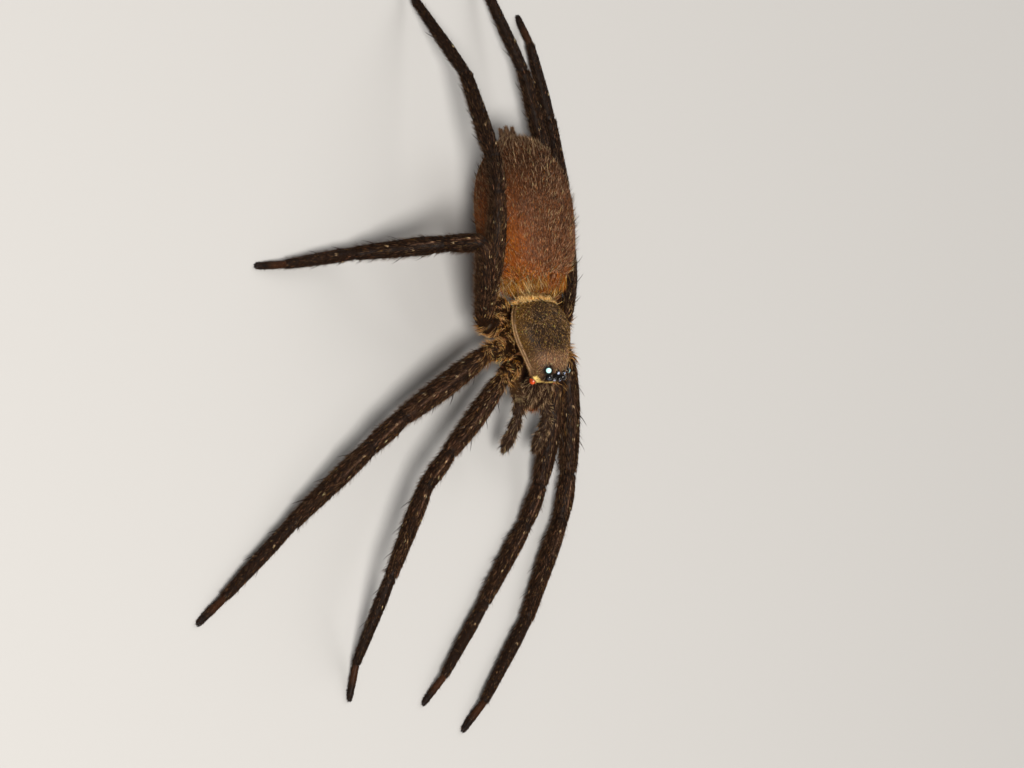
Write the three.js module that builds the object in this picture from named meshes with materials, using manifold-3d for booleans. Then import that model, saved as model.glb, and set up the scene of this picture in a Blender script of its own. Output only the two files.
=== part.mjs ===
import * as THREE from 'three';
import { mergeVertices } from 'three/addons/utils/BufferGeometryUtils.js';
import Module from 'manifold-3d';

const wasm = await Module();
wasm.setup();

// Millimetres. The floor is Z = 0, the head points to -Y and the right side is -X.

// Stance of the body: centre of the carapace margin above the floor, lean and slope in degrees.
const BODY_CENTRE = [18.53, -1.59, 8.76];
const BODY_ROLL = 10;
const BODY_SLOPE = -2;

// Space left between neighbouring parts.
const GAP = 0.3;
const EYE_GAP = 0.16;

// Carapace: stations from front to back as [y, half width, crown height].
const CARAPACE = {
  stations: [
    [-5.95, 2.0, 1.25],
    [-5.7, 2.45, 2.05],
    [-5.2, 2.75, 2.72],
    [-4.2, 3.1, 3.2],
    [-2.6, 3.95, 3.45],
    [-0.6, 5.05, 3.55],
    [1.2, 5.5, 3.45],
    [3.0, 5.2, 2.75],
    [4.5, 4.1, 1.65],
    [5.4, 2.7, 0.75],
  ],
  rings: 13,
  sides: 26,
  underside: 0.4,
  squareness: 0.86,
};

// Core of the front body between the leg bases, with the sternum as its underside.
const STERNUM = {
  stations: [
    [-3.3, 1.2],
    [-2.4, 2.1],
    [-0.6, 2.75],
    [1.2, 2.7],
    [3.0, 1.9],
    [4.3, 0.9],
  ],
  rings: 8,
  sides: 16,
  middle: -2.0,
  up: 1.2,
  down: 1.35,
};

// Abdomen: stations as [y, half width, height above the middle, depth below it].
const ABDOMEN = {
  stations: [
    [6.0, 2.3, 2.1, 1.9],
    [6.7, 4.2, 3.8, 3.4],
    [8.4, 5.55, 5.25, 4.7],
    [11.0, 6.4, 6.15, 5.5],
    [14.6, 6.9, 6.5, 5.9],
    [18.2, 6.7, 6.3, 5.7],
    [21.6, 5.7, 5.3, 4.8],
    [24.2, 3.8, 3.5, 3.3],
    [25.4, 1.8, 1.7, 1.7],
  ],
  rings: 15,
  sides: 26,
  middle: 0.3,
};

const PEDICEL = { from: [0, 4.6, -1.3], to: [0, 6.9, -0.7], girth: [[0, 0.75], [1, 0.85]] };

// Eyes: centre of each right eye and radius, the left ones mirrored.
const EYES = {
  front_middle: { centre: [0.56, -5.66, 2.08], radius: 0.3 },
  front_side: { centre: [1.5, -5.4, 2.02], radius: 0.45 },
  back_middle: { centre: [0.62, -5.0, 2.78], radius: 0.27 },
  back_side: { centre: [2.05, -4.62, 2.42], radius: 0.42 },
};

// Jaws and feelers, right side, in the body's own frame.
const CHELICERA = {
  from: [1.38, -5.5, -0.5],
  to: [1.3, -8.35, -2.75],
  girth: [[0, 1.02], [0.3, 1.22], [0.7, 1.08], [1, 0.74]],
};
const FANG = { from: [1.35, -8.75, -3.25], to: [0.55, -7.35, -4.2], root: 0.36, tip: 0.14, bow: -0.32 };
const MAXILLA = { from: [1.5, -2.9, -2.75], to: [0.95, -5.55, -3.35], girth: [[0, 0.85], [0.5, 0.95], [1, 0.6]] };
const LABIUM = { from: [0, -3.2, -3.0], to: [0, -4.6, -3.3], girth: [[0, 0.62], [1, 0.45]] };
const PALP = {
  joints: {
    right: [
      [2.65, -4.55, -2.75],
      [3.95, -8.2, -1.45],
      [4.15, -9.85, -1.75],
      [4.05, -11.6, -2.95],
      [3.45, -13.7, -5.1],
    ],
    left: [
      [2.55, -4.55, -2.95],
      [2.9, -8.2, -2.2],
      [2.8, -9.9, -2.0],
      [2.55, -11.6, -2.7],
      [2.05, -13.9, -4.1],
    ],
  },
  girths: [
    [[0, 0.55], [0.5, 0.78], [1, 0.66]],
    [[0, 0.66], [0.5, 0.8], [1, 0.68]],
    [[0, 0.66], [0.6, 0.82], [1, 0.72]],
    [[0, 0.68], [0.35, 0.86], [0.8, 0.66], [1, 0.42]],
  ],
};
const SPINNERETS = {
  mound: { from: [0, 24.9, -0.1], to: [0, 25.9, -0.25], girth: [[0, 1.25], [1, 1.05]] },
  upper: { from: [0.58, 25.4, 0.15], to: [0.68, 27.0, 0.0], girth: [[0, 0.46], [1, 0.26]] },
  lower: { from: [0.54, 25.4, -0.6], to: [0.62, 26.9, -0.95], girth: [[0, 0.5], [1, 0.28]] },
};

// Legs: hips and first joints in the body frame, right side, then per segment the length,
// the heading (turn from +X) and the rise above the horizontal in degrees.
const HIPS = {
  1: { hip: [1.7, -2.5, -1.95], joint: [6.3, -4.8, -1.8] },
  2: { hip: [2.0, -0.95, -1.95], joint: [9.0, -1.7, -1.8] },
  3: { hip: [2.0, 1.0, -1.95], joint: [9.0, 1.9, -1.8] },
  4: { hip: [1.5, 2.8, -1.95], joint: [7.2, 5.0, -1.8] },
};
const LENGTHS = {
  1: [14.0, 5.6, 12.9, 12.0, 4.2],
  2: [15.6, 6.2, 14.4, 13.4, 4.4],
  3: [12.8, 5.0, 11.2, 10.4, 3.8],
  4: [13.8, 4.6, 12.2, 13.0, 4.2],
};
const STANCE = {
  right_1: { turn: [-139.8, -138.2, -123.7, -97.6, -99.8], rise: [0.2, -3.7, -1.7, -31.6, -14.6] },
  right_2: { turn: [-151.7, -146.9, -142.7, -142.9, -142.8], rise: [-7.3, -7.6, -13.1, -5.7, -13.3] },
  right_3: { turn: [119.8, 168.6, 180.0, 186.2, 180.3], rise: [33.2, -60.8, -47.0, -9.3, -16.2] },
  right_4: { turn: [97.8, 82.6, 85.6, 92.5, 98.5], rise: [23.0, -9.1, -19.6, -33.5, -16.6] },
  left_1: { turn: [-96.4, -118.4, -133.3, -133.8, -132.4], rise: [-15.4, -7.7, 0.0, -0.5, -17.4] },
  left_2: { turn: [-86.0, -105.7, -122.3, -132.8, -133.1], rise: [-10.8, -5.7, -1.5, -0.6, -15.9] },
  left_3: { turn: [64.6, 83.5, 93.6, 98.4, 98.3], rise: [-12.6, -3.3, -1.3, -3.6, -18.4] },
  left_4: { turn: [79.0, 92.3, 98.9, 102.5, 102.7], rise: [-1.0, -4.2, -2.8, -13.5, -17.4] },
};

// Girth of each leg segment at shares of its length, for the stoutest leg.
const GIRTHS = {
  coxa: [[0, 0.8], [0.4, 1.2], [0.8, 1.25], [1, 1.05]],
  trochanter: [[0, 1.0], [0.5, 1.12], [1, 0.92]],
  femur: [[0, 0.92], [0.15, 1.24], [0.5, 1.42], [0.85, 1.26], [1, 1.08]],
  patella: [[0, 1.02], [0.5, 1.22], [1, 1.06]],
  tibia: [[0, 1.02], [0.25, 1.2], [0.7, 1.06], [1, 0.92]],
  metatarsus: [[0, 0.82], [0.3, 0.9], [0.8, 0.74], [1, 0.64]],
  tarsus: [[0, 0.54], [0.4, 0.58], [0.85, 0.54], [1, 0.48]],
};
const STOUTNESS = { 1: 0.92, 2: 1.0, 3: 0.98, 4: 0.92 };

// Leg spines: thickness, and per segment the share of length, lean from the leg and size.
const SPINE = { radius: 0.29, sunk: 0.42, sides: 5 };
const SPINE_ROWS = {
  femur: { shares: [0.26, 0.5, 0.74], around: [62, -58], lean: 38, length: 2.3 },
  tibia: { shares: [0.2, 0.48, 0.76], around: [118, -122], lean: 34, length: 2.6 },
  metatarsus: { shares: [0.16, 0.5], around: [112, -112], lean: 30, length: 2.2 },
};

const COLOURS = {
  carapace: 0x4b3a2c,
  sternum: 0x6a4527,
  abdomen: 0x71452c,
  pedicel: 0x7a5636,
  spinnerets: 0x4a3426,
  jaw: 0x2a1c15,
  fang: 0x120b08,
  mouth: 0x7a4a28,
  palp: 0x4f3d30,
  base: 0x5d412a,
  leg: 0x33261e,
  foot: 0x3a2a20,
  eye: 0x0c1012,
};

const group = new THREE.Group();
group.name = 'huntsman_spider';

// Small repeatable number source, so every build gives the same spines.
function numberSource(seed) {
  let state = seed;
  return () => {
    state = (state * 1664525 + 1013904223) % 4294967296;
    return state / 4294967296;
  };
}

// Smooth curve through a table of [place, value] pairs.
function spline(table, column = 1) {
  const last = table.length - 1;
  const slope = (i) => {
    const a = table[Math.max(0, i - 1)];
    const b = table[Math.min(last, i + 1)];
    return (b[column] - a[column]) / (b[0] - a[0]);
  };
  return (at) => {
    let i = 0;
    while (i < last - 1 && at > table[i + 1][0]) {
      i += 1;
    }
    const width = table[i + 1][0] - table[i][0];
    const u = Math.min(1, Math.max(0, (at - table[i][0]) / width));
    const a = table[i][column];
    const b = table[i + 1][column];
    const blend = u * u * (3 - 2 * u);
    const lead = u * (1 - u) * (1 - u) * slope(i) * width;
    const trail = u * u * (1 - u) * slope(i + 1) * width;
    return a + (b - a) * blend + lead - trail;
  };
}

function toSolid(geometry) {
  const bare = geometry.index ? geometry.toNonIndexed() : geometry.clone();
  bare.deleteAttribute('normal');
  bare.deleteAttribute('uv');
  const merged = mergeVertices(bare, 1e-4);
  const index = merged.index.array;
  const triangles = [];
  for (let i = 0; i < index.length; i += 3) {
    const [a, b, c] = [index[i], index[i + 1], index[i + 2]];
    if (a !== b && b !== c && c !== a) {
      triangles.push(a, b, c);
    }
  }
  return new wasm.Manifold(new wasm.Mesh({
    numProp: 3,
    vertProperties: Float32Array.from(merged.attributes.position.array),
    triVerts: Uint32Array.from(triangles),
  }));
}

// The largest closed surface of a solid.
function largest(solid) {
  const pieces = solid.decompose();
  pieces.sort((a, b) => b.volume() - a.volume());
  return pieces[0];
}

function addNode(name, solid, colour, roughness = 0.8) {
  const mesh = largest(solid).getMesh();
  const geometry = new THREE.BufferGeometry();
  geometry.setAttribute('position', new THREE.BufferAttribute(mesh.vertProperties, 3));
  geometry.setIndex(new THREE.BufferAttribute(mesh.triVerts, 1));
  geometry.computeVertexNormals();
  const material = new THREE.MeshStandardMaterial({ color: colour, roughness, metalness: 0 });
  const node = new THREE.Mesh(geometry, material);
  node.name = name;
  group.add(node);
}

// A closed body of rings along Y; shape(share) gives y, half, top, bottom and middle.
function ringBody(shape, rings, sides, squareness = 1) {
  const outline = [new THREE.Vector2(0, 0)];
  for (let j = 0; j <= rings; j += 1) {
    outline.push(new THREE.Vector2(1, j));
  }
  outline.push(new THREE.Vector2(0, rings));
  const geometry = new THREE.LatheGeometry(outline, sides);
  const position = geometry.attributes.position;
  for (let k = 0; k < position.count; k += 1) {
    const column = Math.floor(k / outline.length);
    const { y, half, top, bottom, middle } = shape(position.getY(k) / rings);
    const angle = (2 * Math.PI * column) / sides;
    const pole = k % outline.length === 0 || k % outline.length === outline.length - 1;
    const side = pole ? 0 : Math.sign(Math.sin(angle)) * Math.abs(Math.sin(angle)) ** squareness;
    const rise = pole ? 0 : Math.sign(Math.cos(angle)) * Math.abs(Math.cos(angle)) ** squareness;
    const height = rise > 0 ? rise * top : rise * bottom;
    position.setXYZ(k, half * side, y, middle + height + (pole ? (top - bottom) * 0.5 : 0));
  }
  return geometry;
}

// Frame with Z along a line and X on its upper side.
function alongLine(from, to) {
  const start = new THREE.Vector3(...from);
  const ahead = new THREE.Vector3(...to).sub(start).normalize();
  const above = new THREE.Vector3(0, 0, 1).addScaledVector(ahead, -ahead.z).normalize();
  const across = new THREE.Vector3().crossVectors(ahead, above);
  const matrix = new THREE.Matrix4().makeBasis(above, across, ahead);
  return matrix.setPosition(start);
}

// A limb segment with domed ends between two points; grow thickens it all round.
function limb({ from, to, girth, sides = 10, rings = 6, scale = 1, cap = 0.5, bow = 0 }, grow = 0) {
  const length = new THREE.Vector3(...from).distanceTo(new THREE.Vector3(...to));
  const radius = spline(girth);
  const startCap = cap * radius(0) * scale + grow;
  const endCap = cap * radius(1) * scale + grow;
  const outline = [new THREE.Vector2(0, -startCap)];
  outline.push(new THREE.Vector2((radius(0) * scale + grow) * 0.72, -startCap * 0.7));
  for (let i = 0; i <= rings; i += 1) {
    outline.push(new THREE.Vector2(radius(i / rings) * scale + grow, (length * i) / rings));
  }
  outline.push(new THREE.Vector2((radius(1) * scale + grow) * 0.72, length + endCap * 0.7));
  outline.push(new THREE.Vector2(0, length + endCap));
  const geometry = new THREE.LatheGeometry(outline, sides);
  geometry.rotateX(Math.PI / 2);
  const position = geometry.attributes.position;
  for (let k = 0; k < position.count; k += 1) {
    const u = Math.min(1, Math.max(0, position.getZ(k) / length));
    position.setX(k, position.getX(k) + 4 * bow * u * (1 - u));
  }
  return geometry.applyMatrix4(alongLine(from, to));
}

const bodyFrame = new THREE.Matrix4().makeTranslation(...BODY_CENTRE);
bodyFrame.multiply(new THREE.Matrix4().makeRotationY(THREE.MathUtils.degToRad(BODY_ROLL)));
bodyFrame.multiply(new THREE.Matrix4().makeRotationX(THREE.MathUtils.degToRad(BODY_SLOPE)));

function inBody(geometry) {
  return toSolid(geometry.applyMatrix4(bodyFrame));
}

function bodyPoint(point, side) {
  const placed = new THREE.Vector3(point[0] * side, point[1], point[2]).applyMatrix4(bodyFrame);
  return placed.toArray();
}

function mirrored(point, side) {
  return [point[0] * side, point[1], point[2]];
}

function bodyLimb(size, side, grow = 0) {
  return inBody(limb({ ...size, from: mirrored(size.from, side), to: mirrored(size.to, side) }, grow));
}

// Body shells, each made plain or grown by the gap to carve its neighbours.
function carapace(grow = 0) {
  const { stations, rings, sides, underside, squareness } = CARAPACE;
  const front = stations[0][0] - grow;
  const back = stations[stations.length - 1][0] + grow;
  const half = spline(stations, 1);
  const crown = spline(stations, 2);
  const shape = (share) => {
    const y = front + (back - front) * (0.5 - 0.5 * Math.cos(Math.PI * share));
    return { y, half: half(y) + grow, top: crown(y) + grow, bottom: underside + grow, middle: 0 };
  };
  return inBody(ringBody(shape, rings, sides, squareness));
}

function sternum(grow = 0) {
  const { stations, rings, sides, middle, up, down } = STERNUM;
  const front = stations[0][0] - grow;
  const back = stations[stations.length - 1][0] + grow;
  const half = spline(stations, 1);
  const shape = (share) => {
    const y = front + (back - front) * share;
    const width = half(y) + grow;
    return { y, half: width, top: up + grow, bottom: down * Math.min(1, width / 1.9) + grow, middle };
  };
  return inBody(ringBody(shape, rings, sides, 0.7));
}

function abdomen(grow = 0) {
  const { stations, rings, sides, middle } = ABDOMEN;
  const front = stations[0][0] - grow;
  const back = stations[stations.length - 1][0] + grow;
  const [half, above, below] = [1, 2, 3].map((column) => spline(stations, column));
  const shape = (share) => {
    const y = front + (back - front) * (0.5 - 0.5 * Math.cos(Math.PI * share));
    return { y, half: half(y) + grow, top: above(y) + grow, bottom: below(y) + grow, middle };
  };
  return inBody(ringBody(shape, rings, sides));
}

function eye(place, side, grow = 0) {
  const geometry = new THREE.SphereGeometry(place.radius + grow, 10, 6);
  geometry.translate(place.centre[0] * side, place.centre[1], place.centre[2]);
  return inBody(geometry);
}

const carapaceGrown = carapace(GAP);
const sternumGrown = sternum(GAP);
const sides = { right: -1, left: 1 };

// Carapace with its eye sockets, and the eyes in them.
let carapaceSolid = carapace();
for (const place of Object.values(EYES)) {
  for (const side of Object.values(sides)) {
    carapaceSolid = carapaceSolid.subtract(eye(place, side, EYE_GAP));
  }
}
addNode('carapace', carapaceSolid, COLOURS.carapace);
for (const [place, size] of Object.entries(EYES)) {
  for (const [sideName, side] of Object.entries(sides)) {
    addNode(`eye_${place}_${sideName}`, eye(size, side), COLOURS.eye, 0.08);
  }
}

const sternumSolid = sternum().subtract(carapaceGrown);
addNode('sternum', sternumSolid, COLOURS.sternum);

const abdomenSolid = abdomen().subtract(carapaceGrown);
const abdomenGrown = abdomen(GAP);
addNode('abdomen', abdomenSolid, COLOURS.abdomen);

const pedicelSolid = inBody(limb(PEDICEL)).subtract(carapaceGrown).subtract(sternumGrown).subtract(abdomenGrown);
addNode('pedicel', pedicelSolid, COLOURS.pedicel);

let spinneretSolid = inBody(limb({ ...SPINNERETS.mound, rings: 2, sides: 8 }));
for (const side of Object.values(sides)) {
  spinneretSolid = spinneretSolid.add(bodyLimb({ ...SPINNERETS.upper, sides: 8, rings: 2 }, side));
  spinneretSolid = spinneretSolid.add(bodyLimb({ ...SPINNERETS.lower, sides: 8, rings: 2 }, side));
}
addNode('spinnerets', spinneretSolid.subtract(abdomenGrown), COLOURS.spinnerets);

// Jaws, fangs and mouthparts.
let jawsGrown = bodyLimb({ ...CHELICERA, sides: 12, rings: 5 }, 1, GAP);
jawsGrown = jawsGrown.add(bodyLimb({ ...CHELICERA, sides: 12, rings: 5 }, -1, GAP));
for (const [sideName, side] of Object.entries(sides)) {
  const jaw = bodyLimb({ ...CHELICERA, sides: 12, rings: 5 }, side).subtract(carapaceGrown).subtract(sternumGrown);
  addNode(`chelicera_${sideName}`, jaw, COLOURS.jaw, 0.6);
  const girth = [[0, FANG.root], [0.5, (FANG.root + FANG.tip) * 0.55], [1, FANG.tip]];
  const fang = bodyLimb({ ...FANG, girth, sides: 8, rings: 4 }, side).subtract(jawsGrown);
  addNode(`fang_${sideName}`, fang, COLOURS.fang, 0.2);
}
let mouth = inBody(limb({ ...LABIUM, rings: 2, sides: 8 }));
let mouthGrown = inBody(limb({ ...LABIUM, rings: 2, sides: 8 }, GAP));
for (const side of Object.values(sides)) {
  mouth = mouth.add(bodyLimb({ ...MAXILLA, rings: 3, sides: 8 }, side));
  mouthGrown = mouthGrown.add(bodyLimb({ ...MAXILLA, rings: 3, sides: 8 }, side, GAP));
}
addNode('mouthparts', mouth.subtract(sternumGrown).subtract(jawsGrown).subtract(carapaceGrown), COLOURS.mouth);

// One leg: joints in the floor frame, then its four nodes from the hip outwards.
function legJoints(number, stance, side) {
  const joints = [bodyPoint(HIPS[number].joint, side)];
  LENGTHS[number].forEach((length, i) => {
    const turn = THREE.MathUtils.degToRad(stance.turn[i]);
    const rise = THREE.MathUtils.degToRad(stance.rise[i]);
    const [x, y, z] = joints[i];
    const flat = length * Math.cos(rise);
    joints.push([x + flat * Math.cos(turn), y + flat * Math.sin(turn), z + length * Math.sin(rise)]);
  });
  return joints;
}

// Spines of one segment, leaning towards its far end.
function spines(from, to, girth, scale, row, random) {
  const frame = alongLine(from, to);
  const length = new THREE.Vector3(...from).distanceTo(new THREE.Vector3(...to));
  const radius = spline(girth);
  const solids = [];
  for (const share of row.shares) {
    for (const around of row.around) {
      const size = row.length * (0.85 + 0.3 * random());
      const lean = THREE.MathUtils.degToRad(row.lean + 10 * (random() - 0.5));
      const angle = THREE.MathUtils.degToRad(around + 16 * (random() - 0.5));
      const cone = new THREE.ConeGeometry(SPINE.radius, size + SPINE.sunk, SPINE.sides);
      cone.rotateX(Math.PI / 2);
      cone.translate(0, 0, (size + SPINE.sunk) / 2 - SPINE.sunk);
      cone.rotateY(lean);
      cone.translate(radius(share) * scale, 0, 0);
      cone.rotateZ(angle);
      cone.translate(0, 0, length * (share + 0.03 * (random() - 0.5)));
      solids.push(toSolid(cone.applyMatrix4(frame)));
    }
  }
  return solids;
}

const floorBlock = toSolid(new THREE.BoxGeometry(200, 200, 10).translate(0, 0, -5));
const hipsGrown = { right: {}, left: {} };

for (const [legName, stance] of Object.entries(STANCE)) {
  const [sideName, number] = legName.split('_');
  const side = sides[sideName];
  const scale = STOUTNESS[number];
  const joints = legJoints(Number(number), stance, side);
  const hip = bodyPoint(HIPS[number].hip, side);
  const split = hip.map((value, i) => value + (joints[0][i] - value) * 0.8);
  const random = numberSource(100 + Number(number) * 7 + (side > 0 ? 50 : 0));
  const piece = (kind, from, to, more = {}) => {
    const size = { from, to, girth: GIRTHS[kind], scale, ...more };
    return { plain: () => toSolid(limb(size)), grown: () => toSolid(limb(size, GAP)), size };
  };
  const coxa = piece('coxa', hip, split, { rings: 3, sides: 9 });
  const trochanter = piece('trochanter', split, joints[0], { rings: 1, cap: 0.3, sides: 9 });
  const femur = piece('femur', joints[0], joints[1], { rings: 5, cap: 0.35, bow: 0.35 });
  const patella = piece('patella', joints[1], joints[2], { rings: 2, cap: 0.35, bow: 0.1 });
  const tibia = piece('tibia', joints[2], joints[3], { rings: 3, cap: 0.35 });
  const metatarsus = piece('metatarsus', joints[3], joints[4], { rings: 3, cap: 0.4, sides: 8 });
  const tarsus = piece('tarsus', joints[4], joints[5], { rings: 2, cap: 0.6, sides: 8 });

  let base = coxa.plain().add(trochanter.plain());
  base = base.subtract(carapaceGrown).subtract(sternumGrown).subtract(mouthGrown).subtract(abdomenGrown);
  for (const neighbour of Object.values(hipsGrown[sideName])) {
    base = base.subtract(neighbour);
  }
  hipsGrown[sideName][number] = coxa.grown().add(trochanter.grown());

  const addSpines = (solid, { size }, row) => {
    const grown = spines(size.from, size.to, size.girth, scale, row, random);
    return grown.reduce((sum, spine) => sum.add(spine), solid);
  };
  let thigh = femur.plain().subtract(trochanter.grown());
  thigh = addSpines(thigh, femur, SPINE_ROWS.femur).subtract(abdomenGrown);
  let shin = patella.plain().add(tibia.plain()).subtract(femur.grown());
  shin = addSpines(shin, tibia, SPINE_ROWS.tibia);
  let foot = metatarsus.plain().subtract(tibia.grown());
  foot = addSpines(foot, metatarsus, SPINE_ROWS.metatarsus).add(tarsus.plain()).subtract(floorBlock);

  addNode(`leg_${legName}_coxa`, base, COLOURS.base);
  addNode(`leg_${legName}_femur`, thigh, COLOURS.leg);
  addNode(`leg_${legName}_tibia`, shin, COLOURS.leg);
  addNode(`leg_${legName}_foot`, foot, COLOURS.foot);
}

// Feelers beside the jaws: an upper and a lower part each.
for (const [sideName, side] of Object.entries(sides)) {
  const joints = PALP.joints[sideName].map((point) => bodyPoint(point, side));
  const part = (i, rings, grow = 0) => {
    const size = { from: joints[i], to: joints[i + 1], girth: PALP.girths[i], rings, sides: 8, cap: 0.4 };
    return toSolid(limb(size, grow));
  };
  let upper = part(0, 4).add(part(1, 2));
  upper = upper.subtract(jawsGrown).subtract(mouthGrown).subtract(carapaceGrown).subtract(sternumGrown);
  upper = upper.subtract(hipsGrown[sideName][1]);
  const lower = part(2, 3).add(part(3, 4)).subtract(part(1, 2, GAP)).subtract(jawsGrown);
  addNode(`palp_${sideName}_upper`, upper, COLOURS.palp);
  addNode(`palp_${sideName}_lower`, lower, COLOURS.palp);
}

export default group;
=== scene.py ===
import math

import bmesh
import bpy
import numpy as np
from mathutils import Matrix, Vector


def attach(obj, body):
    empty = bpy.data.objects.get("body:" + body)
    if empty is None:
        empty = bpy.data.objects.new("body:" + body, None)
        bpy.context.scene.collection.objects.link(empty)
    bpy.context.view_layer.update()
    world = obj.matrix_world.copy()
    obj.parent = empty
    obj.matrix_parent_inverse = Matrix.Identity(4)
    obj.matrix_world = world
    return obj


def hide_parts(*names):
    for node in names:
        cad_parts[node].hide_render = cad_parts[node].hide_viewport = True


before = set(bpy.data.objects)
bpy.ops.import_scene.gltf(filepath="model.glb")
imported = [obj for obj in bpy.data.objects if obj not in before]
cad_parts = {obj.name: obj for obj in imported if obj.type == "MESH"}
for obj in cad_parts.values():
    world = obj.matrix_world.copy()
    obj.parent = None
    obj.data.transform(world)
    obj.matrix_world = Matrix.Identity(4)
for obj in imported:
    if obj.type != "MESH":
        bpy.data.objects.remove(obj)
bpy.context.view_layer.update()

# Sizes and places are millimetres in the object's own frame, and MM turns them to metres.
# The floor is Z = 0, the head points to -Y and the right side is -X.
MM = 0.001
SIDES = {"right": -1, "left": 1}

BODY_CENTRE = np.array([18.53, -1.59, 8.76])
BODY_ROLL = math.radians(10)
BODY_SLOPE = math.radians(-2)

# Depth of the lying coat, which the skins stay inside the solids by.
LEG_COAT = 0.12
BODY_COAT = 0.15
ABDOMEN_COAT = 0.25
LIP_COAT = 0.06
PLATE_COAT = 0.08
SPINNERET_COAT = 0.05
# Depth of the hairs' roots under the skin, and the least height of skin and hair over the floor.
ROOT_DEPTH = 0.05
FLOOR_GAP = 0.01

# Carapace from front to back as [y, half width, crown height].
CARAPACE = [
    [-5.95, 2.0, 1.25],
    [-5.7, 2.45, 2.05],
    [-5.2, 2.75, 2.72],
    [-4.2, 3.1, 3.2],
    [-2.6, 3.95, 3.45],
    [-0.6, 5.05, 3.55],
    [1.2, 5.5, 3.45],
    [3.0, 5.2, 2.75],
    [4.5, 4.1, 1.65],
    [5.4, 2.7, 0.75],
]
CARAPACE_UNDERSIDE = 0.4
CARAPACE_SQUARENESS = 0.86
FOVEA_Y = 1.7
# Grooves that run out from the fovea as (angle from straight ahead in degrees, depth).
GROOVES = ((30, 0.09), (66, 0.04), (98, 0.04), (132, 0.04))
STERNUM = [[-3.3, 1.2], [-2.4, 2.1], [-0.6, 2.75], [1.2, 2.7], [3.0, 1.9], [4.3, 0.9]]
STERNUM_MIDDLE = -2.0
STERNUM_DOWN = 1.35
CORE_UP = 2.25

# Abdomen as [y, half width, height above the middle, depth below it].
ABDOMEN = [
    [6.0, 2.3, 2.1, 1.9],
    [6.7, 4.2, 3.8, 3.4],
    [8.4, 5.55, 5.25, 4.7],
    [11.0, 6.4, 6.15, 5.5],
    [14.6, 6.9, 6.5, 5.9],
    [18.2, 6.7, 6.3, 5.7],
    [21.6, 5.7, 5.3, 4.8],
    [24.2, 3.8, 3.5, 3.3],
    [25.4, 1.8, 1.7, 1.7],
]
ABDOMEN_MIDDLE = 0.3
# Pairs of pits on the back as (y, x), and the first and spacing of the chevrons behind them.
MUSCLE_SPOTS = ((11.2, 1.35), (14.2, 1.6), (16.8, 1.4))
CHEVRON_START, CHEVRON_STEP, CHEVRONS = 18.4, 1.25, 4

# Eyes: centre of the left one, radius, axis, height of the lens at which its painted glint gives
# way to the dark rim as a share of the radius, and the glint's colour. The glint is painted reflected
# light: turquoise eyeshine on the back side eyes and dim bluish glints on the others.
EYES = {
    "front_middle": ((0.56, -5.66, 2.08), 0.3, (0.25, -0.95, 0.15), 0.8, "8d8ca0"),
    "front_side": ((1.5, -5.4, 2.02), 0.45, (0.5, -0.82, 0.15), 0.82, "2a2f38"),
    "back_middle": ((0.62, -5.0, 2.78), 0.27, (0.3, -0.5, 0.81), 0.72, "8088a0"),
    "back_side": ((2.05, -4.62, 2.42), 0.42, (0.85, -0.25, 0.46), 0.64, "bff3ee"),
}
LENS_SHARE = 0.98

# Legs: hip and first joint in the body frame, segment lengths, then turn and rise in degrees.
HIPS = {
    1: ((1.7, -2.5, -1.95), (6.3, -4.8, -1.8)),
    2: ((2.0, -0.95, -1.95), (9.0, -1.7, -1.8)),
    3: ((2.0, 1.0, -1.95), (9.0, 1.9, -1.8)),
    4: ((1.5, 2.8, -1.95), (7.2, 5.0, -1.8)),
}
LENGTHS = {
    1: (14.0, 5.6, 12.9, 12.0, 4.2),
    2: (15.6, 6.2, 14.4, 13.4, 4.4),
    3: (12.8, 5.0, 11.2, 10.4, 3.8),
    4: (13.8, 4.6, 12.2, 13.0, 4.2),
}
STANCE = {
    "right_1": ((-139.8, -138.2, -123.7, -97.6, -99.8), (0.2, -3.7, -1.7, -31.6, -14.6)),
    "right_2": ((-151.7, -146.9, -142.7, -142.9, -142.8), (-7.3, -7.6, -13.1, -5.7, -13.3)),
    "right_3": ((119.8, 168.6, 180.0, 186.2, 180.3), (33.2, -60.8, -47.0, -9.3, -16.2)),
    "right_4": ((97.8, 82.6, 85.6, 92.5, 98.5), (23.0, -9.1, -19.6, -33.5, -16.6)),
    "left_1": ((-96.4, -118.4, -133.3, -133.8, -132.4), (-15.4, -7.7, 0.0, -0.5, -17.4)),
    "left_2": ((-86.0, -105.7, -122.3, -132.8, -133.1), (-10.8, -5.7, -1.5, -0.6, -15.9)),
    "left_3": ((64.6, 83.5, 93.6, 98.4, 98.3), (-12.6, -3.3, -1.3, -3.6, -18.4)),
    "left_4": ((79.0, 92.3, 98.9, 102.5, 102.7), (-1.0, -4.2, -2.8, -13.5, -17.4)),
}
HIP_SHARE = 0.8
GIRTHS = {
    "coxa": [[0, 0.8], [0.4, 1.2], [0.8, 1.25], [1, 1.05]],
    "trochanter": [[0, 1.0], [0.5, 1.12], [1, 0.92]],
    "femur": [[0, 0.92], [0.15, 1.24], [0.5, 1.42], [0.85, 1.26], [1, 1.08]],
    "patella": [[0, 1.02], [0.5, 1.22], [1, 1.06]],
    "tibia": [[0, 1.02], [0.25, 1.2], [0.7, 1.06], [1, 0.92]],
    "metatarsus": [[0, 0.82], [0.3, 0.9], [0.8, 0.74], [1, 0.64]],
    "tarsus": [[0, 0.54], [0.4, 0.58], [0.85, 0.54], [1, 0.48]],
}
STOUTNESS = {1: 0.92, 2: 1.0, 3: 0.98, 4: 0.92}
BOWS = {"femur": 0.35, "patella": 0.1}
# Each joint from the hip outwards: depth of its fold as a share of the girth, and its width.
JOINTS = [(0.06, 0.22), (0.12, 0.26), (0.12, 0.26), (0.05, 0.2), (0.1, 0.24), (0.08, 0.2)]
SEGMENTS = list(GIRTHS)
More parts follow.
